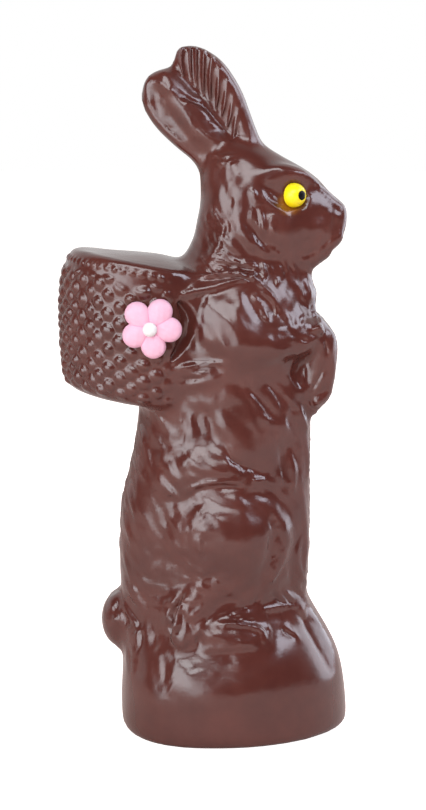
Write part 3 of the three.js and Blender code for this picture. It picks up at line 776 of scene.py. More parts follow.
LEDGE = [
    ((17.5, 56.5), (23, 58), (29.5, 58), (35.5, 58), (45.5, 55), 1.7),
]
SKIRT = [
    ((25.5, 65.5), (21.5, 61), (14, 58.5), (8.5, 56.5), (3, 54), 2.5),
    ((30.5, 63.5), (33.5, 60.5), (36, 58), 2.0),
    ((28.5, 66), (23, 62), (17, 59.5), 1.2),
    ((33.5, 65), (37, 60.5), (40, 56.5), 1.5),
    ((38, 66.5), (41, 62), (43, 58.5), 1.5),
    ((47, 58), (48.5, 55), (50, 52), 1.5),
    ((32.5, 50.5), (36.5, 47), (41, 44), 1.0),
]
BELLY = [
    ((43.5, 91), (40.5, 80.5), (42, 70.5), (47.5, 57.5), 2.7),
    ((34.5, 90), (34.5, 80.5), (28.5, 70.5), 4.9),
]
MOUND = [
    ((-12, 38.5), (-5, 39.5), (3, 35.5), (5.5, 33), 5.6),
    ((10, 40), (13.5, 38), (15.5, 34), 3.9),
]
CONTOUR = [
    ((45, 64), (47.5, 58), (50, 53.5), (54.5, 46.5), (58, 39), (60.5, 30.5), 3.5),
]
FLUTES = [
    ((-34.5, 40), (-33.5, 34.5), (-33.5, 27), 2.5),
    ((-31, 40.5), (-31, 34.5), (-31.5, 27), 2.0),
    ((-20, 40), (-18.5, 34.5), (-18, 27), 2.0),
]
TAIL = [
    ((-41.5, 52), (-38.5, 54.5), 2.1),
    ((-38.5, 49.5), (-35.5, 50.5), (-34.5, 47), 2.6),
    ((-33, 44), (-30, 47), 2.1),
    ((-35.5, 58.5), (-32, 52), (-29, 47.5), (-29, 42.5), (-30.5, 36), 2.6),
]
BACK_EDGE = [
    ((-24, 147.5), (-19.5, 142), (-16.5, 136.5), 2.1),
    ((-29.5, 123.5), (-28, 117.5), (-25, 112.5), 2.1),
    ((-33.5, 112.5), (-32, 103.5), (-29, 94.5), 2.4),
    ((-36, 99), (-34, 91), (-31.5, 83.5), 2.4),
    ((-36, 83.5), (-34.5, 76), (-31.5, 67.5), 2.4),
    ((-35.5, 68.5), (-32.5, 62.5), (-28.5, 57), 2.4),
]
FRONT_EDGE = [
    ((41.5, 148.5), (42.5, 140.5), (44.5, 133.5), 2.4),
    ((41.5, 116.5), (43, 103), (44, 85), (43, 69.5), (46, 58), 2.6),
    ((43.5, 136.5), (44.5, 125.5), (44.5, 112), 2.0),
    ((38, 128), (39.5, 118), (39, 108), 3.0),
]
GUIDES = NECK + THROAT + CHEST + TORSO[1:] + ROLL[1:] + HAUNCH + THIGH + SKIRT + BACK_EDGE


# %% [markdown]
# Between the locks that can be told apart the coat runs on with fainter ones. They are laid on a
# jittered grid and combed: each takes the direction of the listed locks near it, weighted by how
# near they are. Some places stay bare, as on the real piece: the crown, the haunch and the paws.

# %% Comb the rest of the coat
BARE = [  # x, z and radius of the smooth places
    (20, 87, 19), (10, 245, 19), (33, 222, 14), (-28, 181, 33), (50, 162, 13), (30, 171, 14),
    (10, 183, 17), (50, 222, 12), (6, 237, 9), (0, 59, 8), (40, 240, 14), (27, 193, 11),
    (12, 132, 8), (7, 46, 20), (-9, 52, 9),
]


COMBED_X, COMBED_Z = (-40, 56), (50, 236)


def combed_coat(seed, pitch, lengths, widths, height, section, near=13.0, spread=9.0):
    """Lays faint locks over the coat and returns the map of them.

    The direction at a place is the mean of the listed locks' directions, each weighted by
    exp(-(distance / spread)^2 / 2). A place further than `near` from every listed lock gets none.
    """
    random = np.random.default_rng(seed)
    ends = np.array([(*lock[0], *lock[-2]) for lock in GUIDES])
    middle = (ends[:, :2] + ends[:, 2:]) / 2
    way = ends[:, 2:] - ends[:, :2]
    way /= np.linalg.norm(way, axis=1, keepdims=True)
    field, count = blank_map(), 0
    for x in np.arange(*COMBED_X, pitch):
        for z in np.arange(*COMBED_Z, pitch):
            place = np.array([x, z]) + random.uniform(-0.45, 0.45, 2) * pitch
            length, width = random.uniform(*lengths), random.uniform(*widths)
            bend, veer = random.uniform(-0.16, 0.16), random.uniform(-0.25, 0.25)
            away = np.linalg.norm(middle - place, axis=1)
            bare = any(math.hypot(place[0] - a, place[1] - b) < r for a, b, r in BARE)
            if away.min() > near or bare:
                continue
            along = (way * np.exp(-((away / spread) ** 2) / 2)[:, None]).sum(0)
            along = along / np.linalg.norm(along)
            aside = np.array([-along[1], along[0]])
            along = along + veer * aside
            start, end = place - along * length / 2, place + along * length / 2
            middle_point = place + aside * bend * length
            draw(field, [start, middle_point, end], width, height, section, lock_width, lock_rise)
            count += 1
    print("combed", count, "faint locks")
    return field


hairs = combed_coat(5, 5.5, lengths=(9, 14), widths=(2.8, 4.4), height=0.45, section=swelling)

coat = blank_map()
draw_all(coat, BACK_EDGE + FRONT_EDGE, 1.0, widen=1.3, **SOFT_LOCK)
draw_all(coat, NECK, 1.0, widen=1.25, section=ridge, outline=lens)
draw_all(coat, THROAT + CHEST[3:], 0.9, widen=1.25, section=ridge, outline=lens)
draw_all(coat, CREST, 0.9, widen=1.3, **LOBE)
draw_all(coat, BELLY, 0.9, widen=1.3, **SOFT_LOCK)
draw_all(coat, LEDGE, 1.0, widen=1.3, **LOBE)

lobes = blank_map()
draw_all(lobes, [TORSO[0]], 1.6, widen=1.3, **LOBE)
print("coat: highest lock", coat.max().round(2), "mm, highest lobe", lobes.max().round(2), "mm")


# %% [markdown]
# The face is carved, not combed. A brow and a lid frame the eye in an almond that points back, the
# cheek is round and smooth, and a thin ridge parts it from the muzzle. The straps over the
# shoulder and round the waist are bands with a crease under them, and the sleeve of fur over the
# shoulder is a fan of long bars. The paw has grooves between its toes.

# %% Face, strap, arm and paw lines
EYE_LINES = [
    ((24, 240), (26.5, 234.5), (30, 231.5), (34.5, 229), (38.5, 228), (42, 226), 2.0),
    ((25.5, 239), (28.5, 236.5), (32, 233.5), 0.7),
    ((24.5, 242), (29.5, 242.5), 1.6),
]
BROW = [
    ((33, 245.5), (39.5, 245.5), (45.5, 243.5), (51, 239), 2.3),
]
MUZZLE = [
    ((51, 235), (54.5, 232), (58.5, 227), 3.8),
    ((54, 221), (50.5, 215.5), (47, 211), 4.6),
    ((44, 229.5), (45, 222), (43.5, 213.5), 2.3),
]
EYE_DARK = [
    ((25.5, 240), (29.5, 239.5), (33.5, 240.5), 1.3),
    ((30, 237.5), (32.5, 236), (34, 234), 1.1),
    ((17.5, 239), (18, 234), (18.5, 227.5), 2.2),
]
CHEEK = [
    ((43, 228.5), (45, 221), (44.5, 214), (43, 208), 1.3),
    ((52.5, 228.5), (49.5, 225), (47, 221), 3.6),
    ((46.5, 236.5), (51.5, 233), (55, 227.5), 1.9),
    ((40, 208), (46.5, 210), (53.5, 215), (59.5, 221.5), 2.3),
]
FACE_DARK = [
    ((38.5, 232.4), (39.9, 223), (39.1, 212.3), 2.1),
    ((56.5, 219.6), (49.8, 218), (42.9, 215), (39, 208.5), 1.5),
    ((48.5, 210.5), (52, 211.5), (54.5, 213.5), 1.1),
]
CHEEK_EDGE = [
    ((16.6, 224.6), (20.9, 217.8), (26.4, 212.7), (30.3, 209.7), 2.4),
    ((54, 228.6), (56.5, 228.4), (59, 227), 3.2),
]
STRAP_BAND = [
    ((-10.5, 194), (-4, 195.5), (2, 197), (8, 199), (14, 200.5), (19, 200), 2.7),
]
STRAP_FAN = [
    ((20.5, 200.5), (25.5, 197.5), (29.5, 193.5), (32, 189), (33, 185), 1.7),
    ((23, 197.5), (28, 192.5), (30.5, 188), (31, 184.5), 1.5),
    ((20.5, 193.5), (23, 191), (25.5, 187), (27.5, 183), 3.1),
]
SHOULDER = [
    ((-2, 189), (4, 184), (10.5, 177), (15, 172), 9.9),
    ((11, 193.5), (16.5, 192.5), (20.5, 188.5), (21.5, 183), 7.3),
    ((8, 191.5), (11.5, 188.5), (14, 183), 1.7),
]
SHOULDER_BEADS = [
    ((-4.5, 185), (-2.5, 182), (-1, 179.5), 3.4),
    ((-0.5, 182), (1, 178), (0.5, 174.5), 3.3),
    ((-4.5, 174), (-2, 171.5), (0.5, 169), 3.1),
]
ELBOW = [
    ((32, 179.5), (33.5, 177), (35, 175), 2.2),
    ((36.5, 178.5), (39, 176), (41, 174.5), 2.2),
    ((42.5, 180), (45, 177.5), (47, 175), 2.0),
    ((36, 183.5), (40, 182.5), (42.5, 183.5), 1.7),
]
ARM_THIN = [
    ((21.5, 159.5), (25, 161), (29.5, 162), (35, 161.5), (40.5, 161.5), 1.1),
    ((33, 162), (34, 165), (34, 168.5), 1.0),
    ((37, 162), (38.5, 165), (40, 168), 1.0),
    ((33.5, 170.5), (39, 171.5), (44, 172.5), (48, 174), 1.0),
]
PAW = [
    ((48.5, 162), (46.5, 158), (45.5, 153), 4.3),
    ((52, 160.5), (49.5, 155.5), (47.5, 149.5), 1.8),
    ((54.5, 152), (51.5, 148.5), (48, 146), 1.6),
    ((45, 179.5), (49.5, 179.5), (54, 177.5), 3.4),
    ((41, 175), (43, 173.5), (45, 172.5), 1.4),
]
ARM_DARK = [
    ((49.5, 172.5), (47, 166.5), (42.5, 162.5), (41, 158.5), (41.5, 152.5), 4.0),
    ((52.5, 162.5), (50, 158), (47, 152.5), (45, 148), 1.7),
    ((51.5, 175.5), (53, 170), (53.5, 164.5), 1.6),
    ((25, 194.5), (29.5, 189.5), (30, 184.5), 1.5),
]
WAIST_CREST = [
    ((-16.5, 160), (-11.5, 163), (-3.5, 164), (5, 165.5), (11.5, 166), 2.8),
]
WAIST_DARK = [
    ((-15.5, 157.5), (-8, 158), (0, 159.5), (8.5, 163), 2.8),
]
VALLEY = [
    ((-10.5, 191.5), (-7.5, 185.5), (-7.5, 179), (-10.5, 171.5), (-14.5, 166), 5.1),
]

draw_all(coat, EYE_LINES, 0.5, widen=1.4, **LOBE)
draw_all(coat, STRAP_FAN, 1.1, widen=1.3, section=ridge, outline=lens)
draw_all(coat, BROW + MUZZLE[1:], 0.6, widen=1.4, **LOBE)
draw_all(coat, STRAP_BAND, 1.2, widen=1.5, section=bar, outline=lock_width)
draw_all(coat, ARM_THIN, 0.5, widen=1.3)
draw_all(coat, WAIST_CREST, 1.2, widen=1.3, **LOBE)

grooves = blank_map()
draw_all(grooves, FACE_DARK[1:] + EYE_DARK, 0.6, widen=1.3, **LOBE)
draw_all(grooves, ARM_DARK + CREST_DARK + WAIST_DARK, 1.1, widen=1.3, **LOBE)
draw_all(grooves, FOOT_DARK + SKIRT, 0.9, widen=1.3, **LOBE)
draw_all(grooves, VALLEY, 3.0, widen=1.5, section=swelling, outline=lock_width)

hollows = blank_map()
draw(hollows, [(26, 238.4), (32, 236.4), (39, 235.6)], 11.5, 1.5, section=swelling,
     rise=lambda t: 0.4 + 0.6 * t)
head = coat[320:, 800:]  # over Z = 200 mm and in front of X = 12 mm
print("face: highest", head.max().round(2), "deepest", -grooves.max().round(2), "mm")


# %% [markdown]
# The ears are open towards the viewer. Hair hangs like a comb from the rim of the tall ear into
# its hollow, in strands with flat tops, and the rim itself carries fine grooves. The low ear
# behind it shows a few long strands. Where the ears leave the head there are two rolls.

# %% Ear lines
STRANDS = [
    ((-9.5, 298.5), (-10, 292.5), (-9, 286.5), 1.7),
    ((-6, 299), (-6, 292), (-5.5, 285), 1.2),
    ((-3.5, 299), (-3.5, 289.5), (-3.5, 281), 1.2),
    ((0, 297.5), (-0.5, 288), (-0.5, 278.5), 1.9),
    ((3.5, 294), (2.5, 285), (2.5, 275.5), 1.9),
    ((6.5, 289), (6, 280), (5, 272), 2.0),
    ((10, 284), (9, 276), (7.5, 269), 2.0),
    ((12.5, 277.5), (11.5, 270.5), (10, 265), 2.0),
    ((15, 272.5), (13.5, 266), (12.5, 259.5), 2.4),
]
LOW_EAR = [
    ((-23, 279), (-19.5, 273), (-14, 266), (-6, 258.5), 5.4),
    ((-19.5, 278), (-17.5, 273.5), (-16.5, 269), 1.8),
    ((-24, 286), (-19, 283.5), (-16, 281.5), (-13, 278.5), 2.1),
    ((-12.5, 277.5), (-8, 271.5), (-4.5, 263), (0, 258), 1.3),
    ((-3.5, 272), (-1, 270.5), (2, 268.5), 1.7),
    ((1.5, 267.5), (4.5, 265), (7.5, 263), 1.2),
    ((3, 263), (6.5, 261), (10.5, 258.5), 1.2),
    ((-3, 263.5), (2.5, 260), (11.5, 258), 2.9),
    ((-9, 275.5), (-4, 273), (1, 270.5), 1.9),
]
LOW_EAR_DARK = [
    ((-21.5, 277.5), (-20, 273.5), (-18.5, 270), 1.2),
    ((-26.5, 280), (-23.5, 273.5), (-18, 266.5), (-9.5, 260.5), 1.7),
    ((-13, 281), (-7, 277), (0, 273.5), (5.5, 267.5), (11.5, 261), 1.3),
]
EAR_ROOT = [
    ((3, 253), (8.5, 252), (14.5, 253), 1.6),
    ((4.5, 250), (9.5, 249), (15.5, 251.5), 1.6),
    ((16, 266.5), (16, 262.5), (15.5, 258.5), 1.5),
    ((18, 264), (19, 260.5), (20, 256.5), 1.5),
]

comb = blank_map()
draw_all(comb, STRANDS, 1.0, widen=1.1, section=plateau, outline=lambda t: 1 - 0.8 * t**3)
draw_all(coat, LOW_EAR[1:], 0.8, widen=1.3, section=ridge, outline=lens)
draw_all(coat, EAR_ROOT, 0.8, widen=1.2, outline=lock_width)
draw_all(grooves, LOW_EAR_DARK, 0.7, widen=1.1, outline=lock_width)

front_rim = path_through(TALL_EAR_FRONT)(np.linspace(0.12, 0.86, 60))
inward = np.gradient(front_rim, axis=0) @ np.array([[0, 1], [-1, 0]])
inward /= np.linalg.norm(inward, axis=1, keepdims=True)
for inset in (1.6, 2.9):
    draw(grooves, front_rim + inward * inset, 1.1, 0.5, outline=lock_width)
print("ears:", len(STRANDS), "hanging strands,", len(LOW_EAR), "long ones")


# %% [markdown]
# What the eye reads as fur is the way that each carved face is turned. A face that looks left and
# a little up mirrors the left softbox, one that looks well to the right mirrors the right one, and
# the rest mirror the dark room. A mould carver turns such faces with a flat gouge, so here the
# broad locks get slopes instead of heights. The heights follow from them: they are the ones whose
# slopes miss the wanted ones least, which is a large set of linear equations.

# %% Turn the faces of the locks
LIT_SLOPES = [  # slopes along X and along Z at which the skin mirrors a softbox: low and high
    ((0.16, 0.42), (-0.22, -0.1)),
    ((-0.04, 0.16), (-0.5, -0.42)),
    ((-0.82, -0.64), (-0.48, -0.38)),
]
DIM_SLOPES = [  # the same for the dark room
    ((-0.36, -0.16), (-0.4, 0.3)),
    ((0.8, 1.4), (-0.4, 0.3)),
    ((-0.1, 0.4), (0.1, 0.3)),
]
STEEPEST_SKIN, STEEPEST_TURN = 1.5, 0.9  # slopes count as no steeper than these
ALL_WEIGHT, NEAR_WEIGHT, LOCK_WEIGHT = 0.06, 0.3, 0.7  # how much each place's slopes count
HOLD = 0.0025  # keeps the heights near zero
DETAIL_GAIN = 1.3
COARSE = 2  # cells of the map to one cell of the equations


def standing_off(net):
    """How far the skin stands off the parting plane, as a map over the side view."""
    outward = net.normals()[:, 1] * np.sign(net.points[:, 1]) > 0.2
    points = net.points[outward]
    spot = np.round((points[:, [0, 2]] - MAP_LOW) / CELL).astype(int)
    spot = np.ravel_multi_index(tuple(spot.T), MAP_SIZE)
    ones, off = np.ones(len(points)), np.abs(points[:, 1])
    count, total = (
        twice_blurred(np.bincount(spot, value, math.prod(MAP_SIZE)).reshape(MAP_SIZE), 4)
        for value in (ones, off)
    )
    return total / np.maximum(count, 1e-6)


def nearest_slope(slopes, windows):
    """For slopes (2, ...), the nearest ones that lie in any of the windows."""
    best, least = slopes, np.full(slopes.shape[1:], np.inf)
    for window in windows:
        low, high = np.array(window).T
        inside = np.clip(slopes, low[:, None, None], high[:, None, None])
        far = ((inside - slopes) ** 2).sum(0)
        best, least = np.where(far < least, inside, best), np.minimum(far, least)
    return best


def heights_from_slopes(wanted, weight, cell, hold, steps=160):
    """Heights h with the least sum of weight * |slopes of h - wanted|^2 + hold * h^2.

    Conjugate gradients on the equations that the least sum gives.
    """
    weights = [(weight[1:] + weight[:-1]) / 2, (weight[:, 1:] + weight[:, :-1]) / 2]
    slopes = [(wanted[0][1:] + wanted[0][:-1]) / 2, (wanted[1][:, 1:] + wanted[1][:, :-1]) / 2]

    def gathered(parts):
        total = np.zeros_like(weight)
        total[1:] += parts[0] / cell
        total[:-1] -= parts[0] / cell
        total[:, 1:] += parts[1] / cell
        total[:, :-1] -= parts[1] / cell
        return total

    def apply(h):
        parts = [weights[axis] * np.diff(h, axis=axis) / cell for axis in (0, 1)]
        return gathered(parts) + hold * h

    h = np.zeros_like(weight)
    rest = gathered([w * s for w, s in zip(weights, slopes)])
    way, size = rest.copy(), (rest**2).sum()
    for _ in range(steps):
        moved = apply(way)
        step = size / (way * moved).sum()
        h += step * way
        rest -= step * moved
        size, before = (rest**2).sum(), size
        way = rest + size / before * way
    return h


# %% Which places look at a softbox, and which at the dark room
def mask_of(*groups):
    """1 inside the lens-shaped lines and 0 outside, from pairs of lines and a widening."""
    mask = blank_map()
    for lines, widen in groups:
        draw_all(mask, lines, 1.0, widen, section=plateau, outline=lens)
    return mask


def surroundings(mask):
    """1 on the mask and close round it, fading to 0 at 4 mm away."""
    return np.clip(4 * twice_blurred(mask, 8), 0, 1)


bluish = mask_of(
    (EYE_LINES[:2] + CHEEK_EDGE[:1] + MUZZLE[:1] + HAUNCH_FRONT + FRONT_EDGE, 1.3),
    (CHEST[:3] + TORSO[4:6] + BELLY + CONTOUR + PAW[3:], 1.2),
)
upright = mask_of(
    (NAPE, 0.9),
    (HAUNCH, 1.0),
    (CHEEK + CHEEK_EDGE[1:] + LOW_EAR[:1], 1.15),
    (SHOULDER + SHOULDER_BEADS + ELBOW + PAW[:3], 1.2),
    (TORSO[1:4] + TORSO[6:] + THIGH + FLUTES + TAIL, 1.25),
)
level = mask_of(
    (ROLL + CREST + WAIST_CREST + EYE_LINES[2:], 1.2),
    (LEG + MOUND + FOOT + FOOT_ROLL + KNOB + LEDGE, 1.3),
)
bright = np.maximum.reduce([bluish, upright, level])
dark = mask_of(
    (NECK_DARK + FOOT_TOP + LOW_EAR_DARK + FOOT_DARK[:2] + SKIRT, 1.2),
    (CREST_DARK[1:] + WAIST_DARK + ARM_DARK + FACE_DARK, 1.2),
    (CREST_DARK[:1], 2.0),
)
beside = np.maximum(upright, mask_of((NECK + THROAT + CHEST + STRAP_FAN + STRAP_BAND, 1.3)))
near = surroundings(np.maximum(bright, beside))

# %% Turn them
base_slopes = np.stack(np.gradient(standing_off(net), CELL))
base_slopes = np.clip(base_slopes, -STEEPEST_SKIN, STEEPEST_SKIN)
to_box, to_right_box, to_room, to_side_room = (
    nearest_slope(base_slopes, windows) - base_slopes
    for windows in (LIT_SLOPES, LIT_SLOPES[2:], DIM_SLOPES, DIM_SLOPES[:2])
)
wanted = np.where(surroundings(beside) > 0.3, to_side_room, to_room)
wanted = np.where(np.maximum(dark, near) > bright, wanted, 0)
wanted = np.where(bright > 0.5, np.where(bluish > 0.5, to_right_box, to_box), wanted)
wanted = np.clip(wanted, -STEEPEST_TURN, STEEPEST_TURN)
wanted = np.stack([blurred(part, 1) for part in wanted])
weight = ALL_WEIGHT + NEAR_WEIGHT * near + LOCK_WEIGHT * np.maximum(bright, dark)
turned = heights_from_slopes(
    wanted[:, ::COARSE, ::COARSE], weight[::COARSE, ::COARSE], CELL * COARSE, HOLD
)
turned = blurred(np.kron(turned, np.ones((COARSE, COARSE))), 1)
turned += DETAIL_GAIN * (turned - twice_blurred(turned, 7))
print("turned faces: heights", turned.min().round(2), "to", turned.max().round(2), "mm")


# %% [markdown]
# The basket is woven, and the mould shows the weave as rows of round knobs, staggered from row to
# row. This is a pattern, so it is a formula in the angle round the basket and the share of its
# height. The filling on top is smooth, inside a rolled rim.

# %% Weave
KNOB_COLUMNS, KNOB_ROWS = 23, 8.0
KNOB_RISE = 1.5
KNOB_HALF_WIDTH, KNOB_HALF_HEIGHT = 0.30, 0.36  # in steps from column to column and row to row
SCALLOP_LEVEL, SCALLOP_RISE = 0.93, 0.45
WORN_X, WORN_Z = -30.0, 202.0
RIM_LEVEL, RIM_HALF, RIM_RISE = 0.975, 0.03, 0.5


def basket_place(points):
    """For points: how far out they are (1 on the wall), the angle round, and the height share."""
    x, y, z = points.T
    low, high = basket_bottom(x), basket_rim(x)
    share = (z - low) / (high - low)
    back, half = BASKET_WALL(np.clip(share, 0, 1)).T
    reach = np.where(x < BASKET_MIDDLE, BASKET_MIDDLE - back, BASKET_FRONT_REACH)
    u, v = (x - BASKET_MIDDLE) / reach, y / half
    out = (np.abs(u) ** BASKET_POWER + np.abs(v) ** BASKET_POWER) ** (1 / BASKET_POWER)
    angle = np.arctan2(swell(v, BASKET_POWER / 2), swell(u, BASKET_POWER / 2))
    return out, angle, share


def weave(points):
    """Rise of the weave: two lattices of round knobs, one shifted half a step both ways.

    Each lattice is a bump (1 - r^2)^0.7 round its crossings, with r the distance as a share of
    the knob's own half width and half height. The higher of the two counts. Every knob has its
    own size and stands a little off its crossing, by sines of its row and column. The knobs are
    worn down round one place high on the side, and small scallops run in one row under the rim.
    """
    out, angle, share = basket_place(points)
    columns = angle / (2 * np.pi) * KNOB_COLUMNS
    rise = np.zeros(len(points))
    for shift in (0.0, 0.5):
        column, row = np.round(columns + shift), np.round(share * KNOB_ROWS + shift)
        mark = 2.4 * np.abs(column) + 5.1 * row + 9 * shift
        across = columns + shift - column - 0.05 * np.sin(3.7 * mark)
        up = share * KNOB_ROWS + shift - row - 0.05 * np.sin(5.3 * mark)
        size = 1 + 0.14 * np.sin(2.9 * mark)
        r2 = (across / (KNOB_HALF_WIDTH * size)) ** 2 + (up / (KNOB_HALF_HEIGHT * size)) ** 2
        rise = np.maximum(rise, (0.85 + 0.15 * np.sin(mark)) * np.maximum(1 - r2, 0) ** 0.7)
    rise *= smooth_step(share, 0.03, 0.08) * smooth_step(share, 0.89, 0.85)
    away = np.hypot(points[:, 0] - WORN_X, (points[:, 2] - WORN_Z) * 1.5)
    rise *= 0.1 + 0.9 * smooth_step(away, 5, 11)
    across = columns * 2.5 - np.round(columns * 2.5)
    r2 = (across / 0.42) ** 2 + ((share - SCALLOP_LEVEL) / 0.022) ** 2
    rise = np.maximum(rise, SCALLOP_RISE * np.maximum(1 - r2, 0) ** 0.7)
    on_wall = smooth_step(np.abs(out - 1), 0.13, 0.06)
    return KNOB_RISE * rise * on_wall * smooth_step(points[:, 0], -11, -19)


def rim_roll(points):
    """A thin rolled edge round the top of the wall, and a shallow step to the filling inside."""
    out, _, share = basket_place(points)
    edge = np.maximum(1 - ((share - RIM_LEVEL) / RIM_HALF) ** 2, 0) * smooth_step(out, 0.8, 0.93)
    return RIM_RISE * edge * smooth_step(points[:, 0], -6, -14)


print("weave:", KNOB_COLUMNS, "columns of knobs,", KNOB_ROWS, "rows")


# %% [markdown]
# Fine relief needs a fine net, but the mound and the haunch don't. So the squares where the relief
# is steepest are split in four, and their neighbours take up the new points in their edges. The
# net stays closed, because both sides of every edge get the same new point.

# %% Finer net where the relief is
def refined(net, chosen):
    """The net with the chosen squares split in four.

    A split square gets a point in its middle and one in each edge. Every other face takes the
    points that now lie in its edges as further corners.
    """
    squares = net.faces[0]
    sides = np.stack([squares, np.roll(squares, -1, axis=1)], axis=-1)
    count = len(net.points)
    code = np.sort(sides[chosen], axis=-1)
    code = code[..., 0] * count + code[..., 1]
    cut, place = np.unique(code, return_inverse=True)
    edge_points = (net.points[cut // count] + net.points[cut % count]) / 2
    centre_points = net.points[squares[chosen]].mean(axis=1)
    centre = count + len(cut) + np.arange(len(centre_points))
    split, ahead = squares[chosen], count + place.reshape(-1, 4)
    behind = np.roll(ahead, 1, axis=1)
    quarters = [np.stack([split[:, k], ahead[:, k], centre, behind[:, k]], -1) for k in range(4)]
    groups = {4: [np.concatenate(quarters)]}
    rest = [squares[~chosen]] + list(net.faces[1:])
    for faces in rest:
        ends = np.sort(np.stack([faces, np.roll(faces, -1, axis=1)], axis=-1), axis=-1)
        code = ends[..., 0] * count + ends[..., 1]
        place = np.minimum(np.searchsorted(cut, code), len(cut) - 1)
        extra = np.where(cut[place] == code, count + place, -1)
        corners = np.stack([faces, extra], axis=-1).reshape(len(faces), -1)
        corner_count = (corners >= 0).sum(axis=1)
        for n in np.unique(corner_count):
            chunk = corners[corner_count == n]
            groups.setdefault(n, []).append(chunk[chunk >= 0].reshape(-1, n))
    points = np.concatenate([net.points, edge_points, centre_points])
    return Net(points, [np.concatenate(groups[n]) for n in sorted(groups)])


relief = twice_blurred(np.maximum(hairs, coat) + lobes - grooves - hollows, 1)
steepness = blurred(np.hypot(*np.gradient(relief + turned + 2 * comb, CELL)), 4)
TRIANGLES, TRIANGLES_PER_SPLIT = 199_000, 6
WALL_FRONT = -13.0  # along X, where the wall of the basket goes into the back of the rabbit
WEAVE_SCORE, RIM_SCORE = 0.6, 0.8  # the basket counts as if its relief were this steep


def steepest(net, count):
    """The squares with the steepest relief, as a true or false for each."""
    middle = net.points[net.faces[0]].mean(axis=1)
    score = read_map(steepness, middle[:, 0], middle[:, 2])
    out, _, share = basket_place(middle)
    behind = middle[:, 0] < WALL_FRONT
    score[behind & (np.abs(out - 1) < 0.1) & (share > 0) & (share < 1)] = WEAVE_SCORE
    score[behind & (np.abs(out - 1) < 0.15) & (np.abs(share - 0.96) < 0.06)] = RIM_SCORE
    return score > np.partition(score, -count)[-count]


def triangles_in(net):
    return sum(len(faces) * (faces.shape[1] - 2) for faces in net.faces)


fine = net
for part in (0.8, 0.9):  # the part of the triangles still to spend that each round may spend
    spare = TRIANGLES - triangles_in(fine)
    fine = refined(fine, steepest(fine, int(spare / TRIANGLES_PER_SPLIT * part)))
soften(fine, 2, 0.5)
print("finer net:", len(fine.points), "points,", triangles_in(fine), "triangles")


# %% [markdown]
# Carving moves every point of the net along its own normal by the height that the map gives at its
# X and Z. The movement fades where the surface faces up, down or forwards, because a two-part
# mould would not release deep relief there. The front and the back of the body get the lower coat
# of hairs instead, laid over Y and Z. The strands in the tall ear rise to one level.

# %% Carve the relief
EYE_CENTRE, EYE_TURN = np.array([38.4, 15.0, 235.8]), 42.0
EYE_RADIUS, EYE_BURIED = 5.2, 1.3
SEAT_UNDER, SEAT_BESIDE, SEAT_REACH = 0.25, 0.35, 9.0  # the seat's room round the eye, its depth
STRANDS_FROM, STRAND_LEVEL, STRAND_RISE = 256.0, 6.9, 1.8  # a height, a distance off Y = 0
SEAM_HALF = 1.2  # half the width of the edge of the ear, which carries no strands
FRONT_COAT, FRONT_COAT_LOW, FRONT_COAT_HIGH = 1.5, 74.0, 212.0
UPRIGHT_LOCKS_X = -40.0  # where the coat in the side view runs straight down


def carved(net):
    """Points of the net moved by the relief map, the weave, the rim and the ear strands."""
    (x, y, z), normals = net.points.T, net.normals()
    facing_side, facing_up = np.abs(normals[:, 1]), np.abs(normals[:, 2])
    sideways = smooth_step(facing_side, 0.08, 0.4)
    height = (read_map(relief, x, z) + read_map(turned, x, z) * facing_side) * sideways
    ends = smooth_step(z, FRONT_COAT_LOW, FRONT_COAT_LOW + 8)
    ends *= 1 - smooth_step(z, FRONT_COAT_HIGH - 12, FRONT_COAT_HIGH)
    steep = 1 - smooth_step(facing_up, 0.4, 0.7)
    hair = read_map(hairs, np.abs(y) + UPRIGHT_LOCKS_X, z)
    height += FRONT_COAT * hair * (1 - sideways) * ends * steep
    out, _, share = basket_place(net.points)
    on_basket = (np.abs(out - 1) < 0.14) & (share > -0.02) & (share < 1.1) & (x < WALL_FRONT - 1)
    height = np.where(on_basket, 0.0, height) + weave(net.points) + rim_roll(net.points)
    points = net.points + normals * height[:, None]
    x, y, z = points.T
    strand = read_map(comb, x, z) * (z > STRANDS_FROM) * (np.abs(y) > SEAM_HALF)
    y += np.sign(y) * strand * np.clip(STRAND_LEVEL - np.abs(y), 0, STRAND_RISE)
    return points


def eye_axis(side):
    """Middle of the eye's sphere on one side (-1 is the right), and the way the eye looks."""
    turn = math.radians(EYE_TURN)
    return EYE_CENTRE * (1, side, 1), np.array([math.sin(turn), side * math.cos(turn), 0.0])


def seat_eyes(points):
    """Presses a flat seat into the head behind each candy eye."""
    for side in (-1, 1):
        centre, axis = eye_axis(side)
        along = (points - centre) @ axis
        away = np.linalg.norm(points - centre - along[:, None] * axis, axis=1)
        depth = -(EYE_BURIED + SEAT_UNDER)
        press = (away < EYE_RADIUS + SEAT_BESIDE) & (along > depth) & (along < SEAT_REACH)
        points[press] += ((depth - along)[press])[:, None] * axis
    return points


fine.points = seat_eyes(carved(fine))
soften(fine, 1, 0.25)
fine.points[:, 2] = np.maximum(fine.points[:, 2], 0.0)
print("carved: box", fine.points.min(0).round(1), fine.points.max(0).round(1))


# %% [markdown]
# Chocolate with a good temper is glossy and dark, with a little bloom where it was handled. Icing
# is dry sugar: satin on the candy eyes, and matt with a fine grain on the flower. All of them
# share two effects, which are kept as groups of nodes: cloudy mottling and a fine uneven skin.

# %% Shared effects
def add_node(tree, kind, inputs=(), **properties):
    """A new shader node with its properties, and with the given defaults for its inputs."""
    node = tree.nodes.new(kind)
    for label, value in properties.items():
        setattr(node, label, value)
    for label, value in dict(inputs).items():
        node.inputs[label].default_value = value
    return node


def wire(tree, *pairs):
    """Links pairs of an output and an input."""
    for source, target in pairs:
        tree.links.new(source, target)


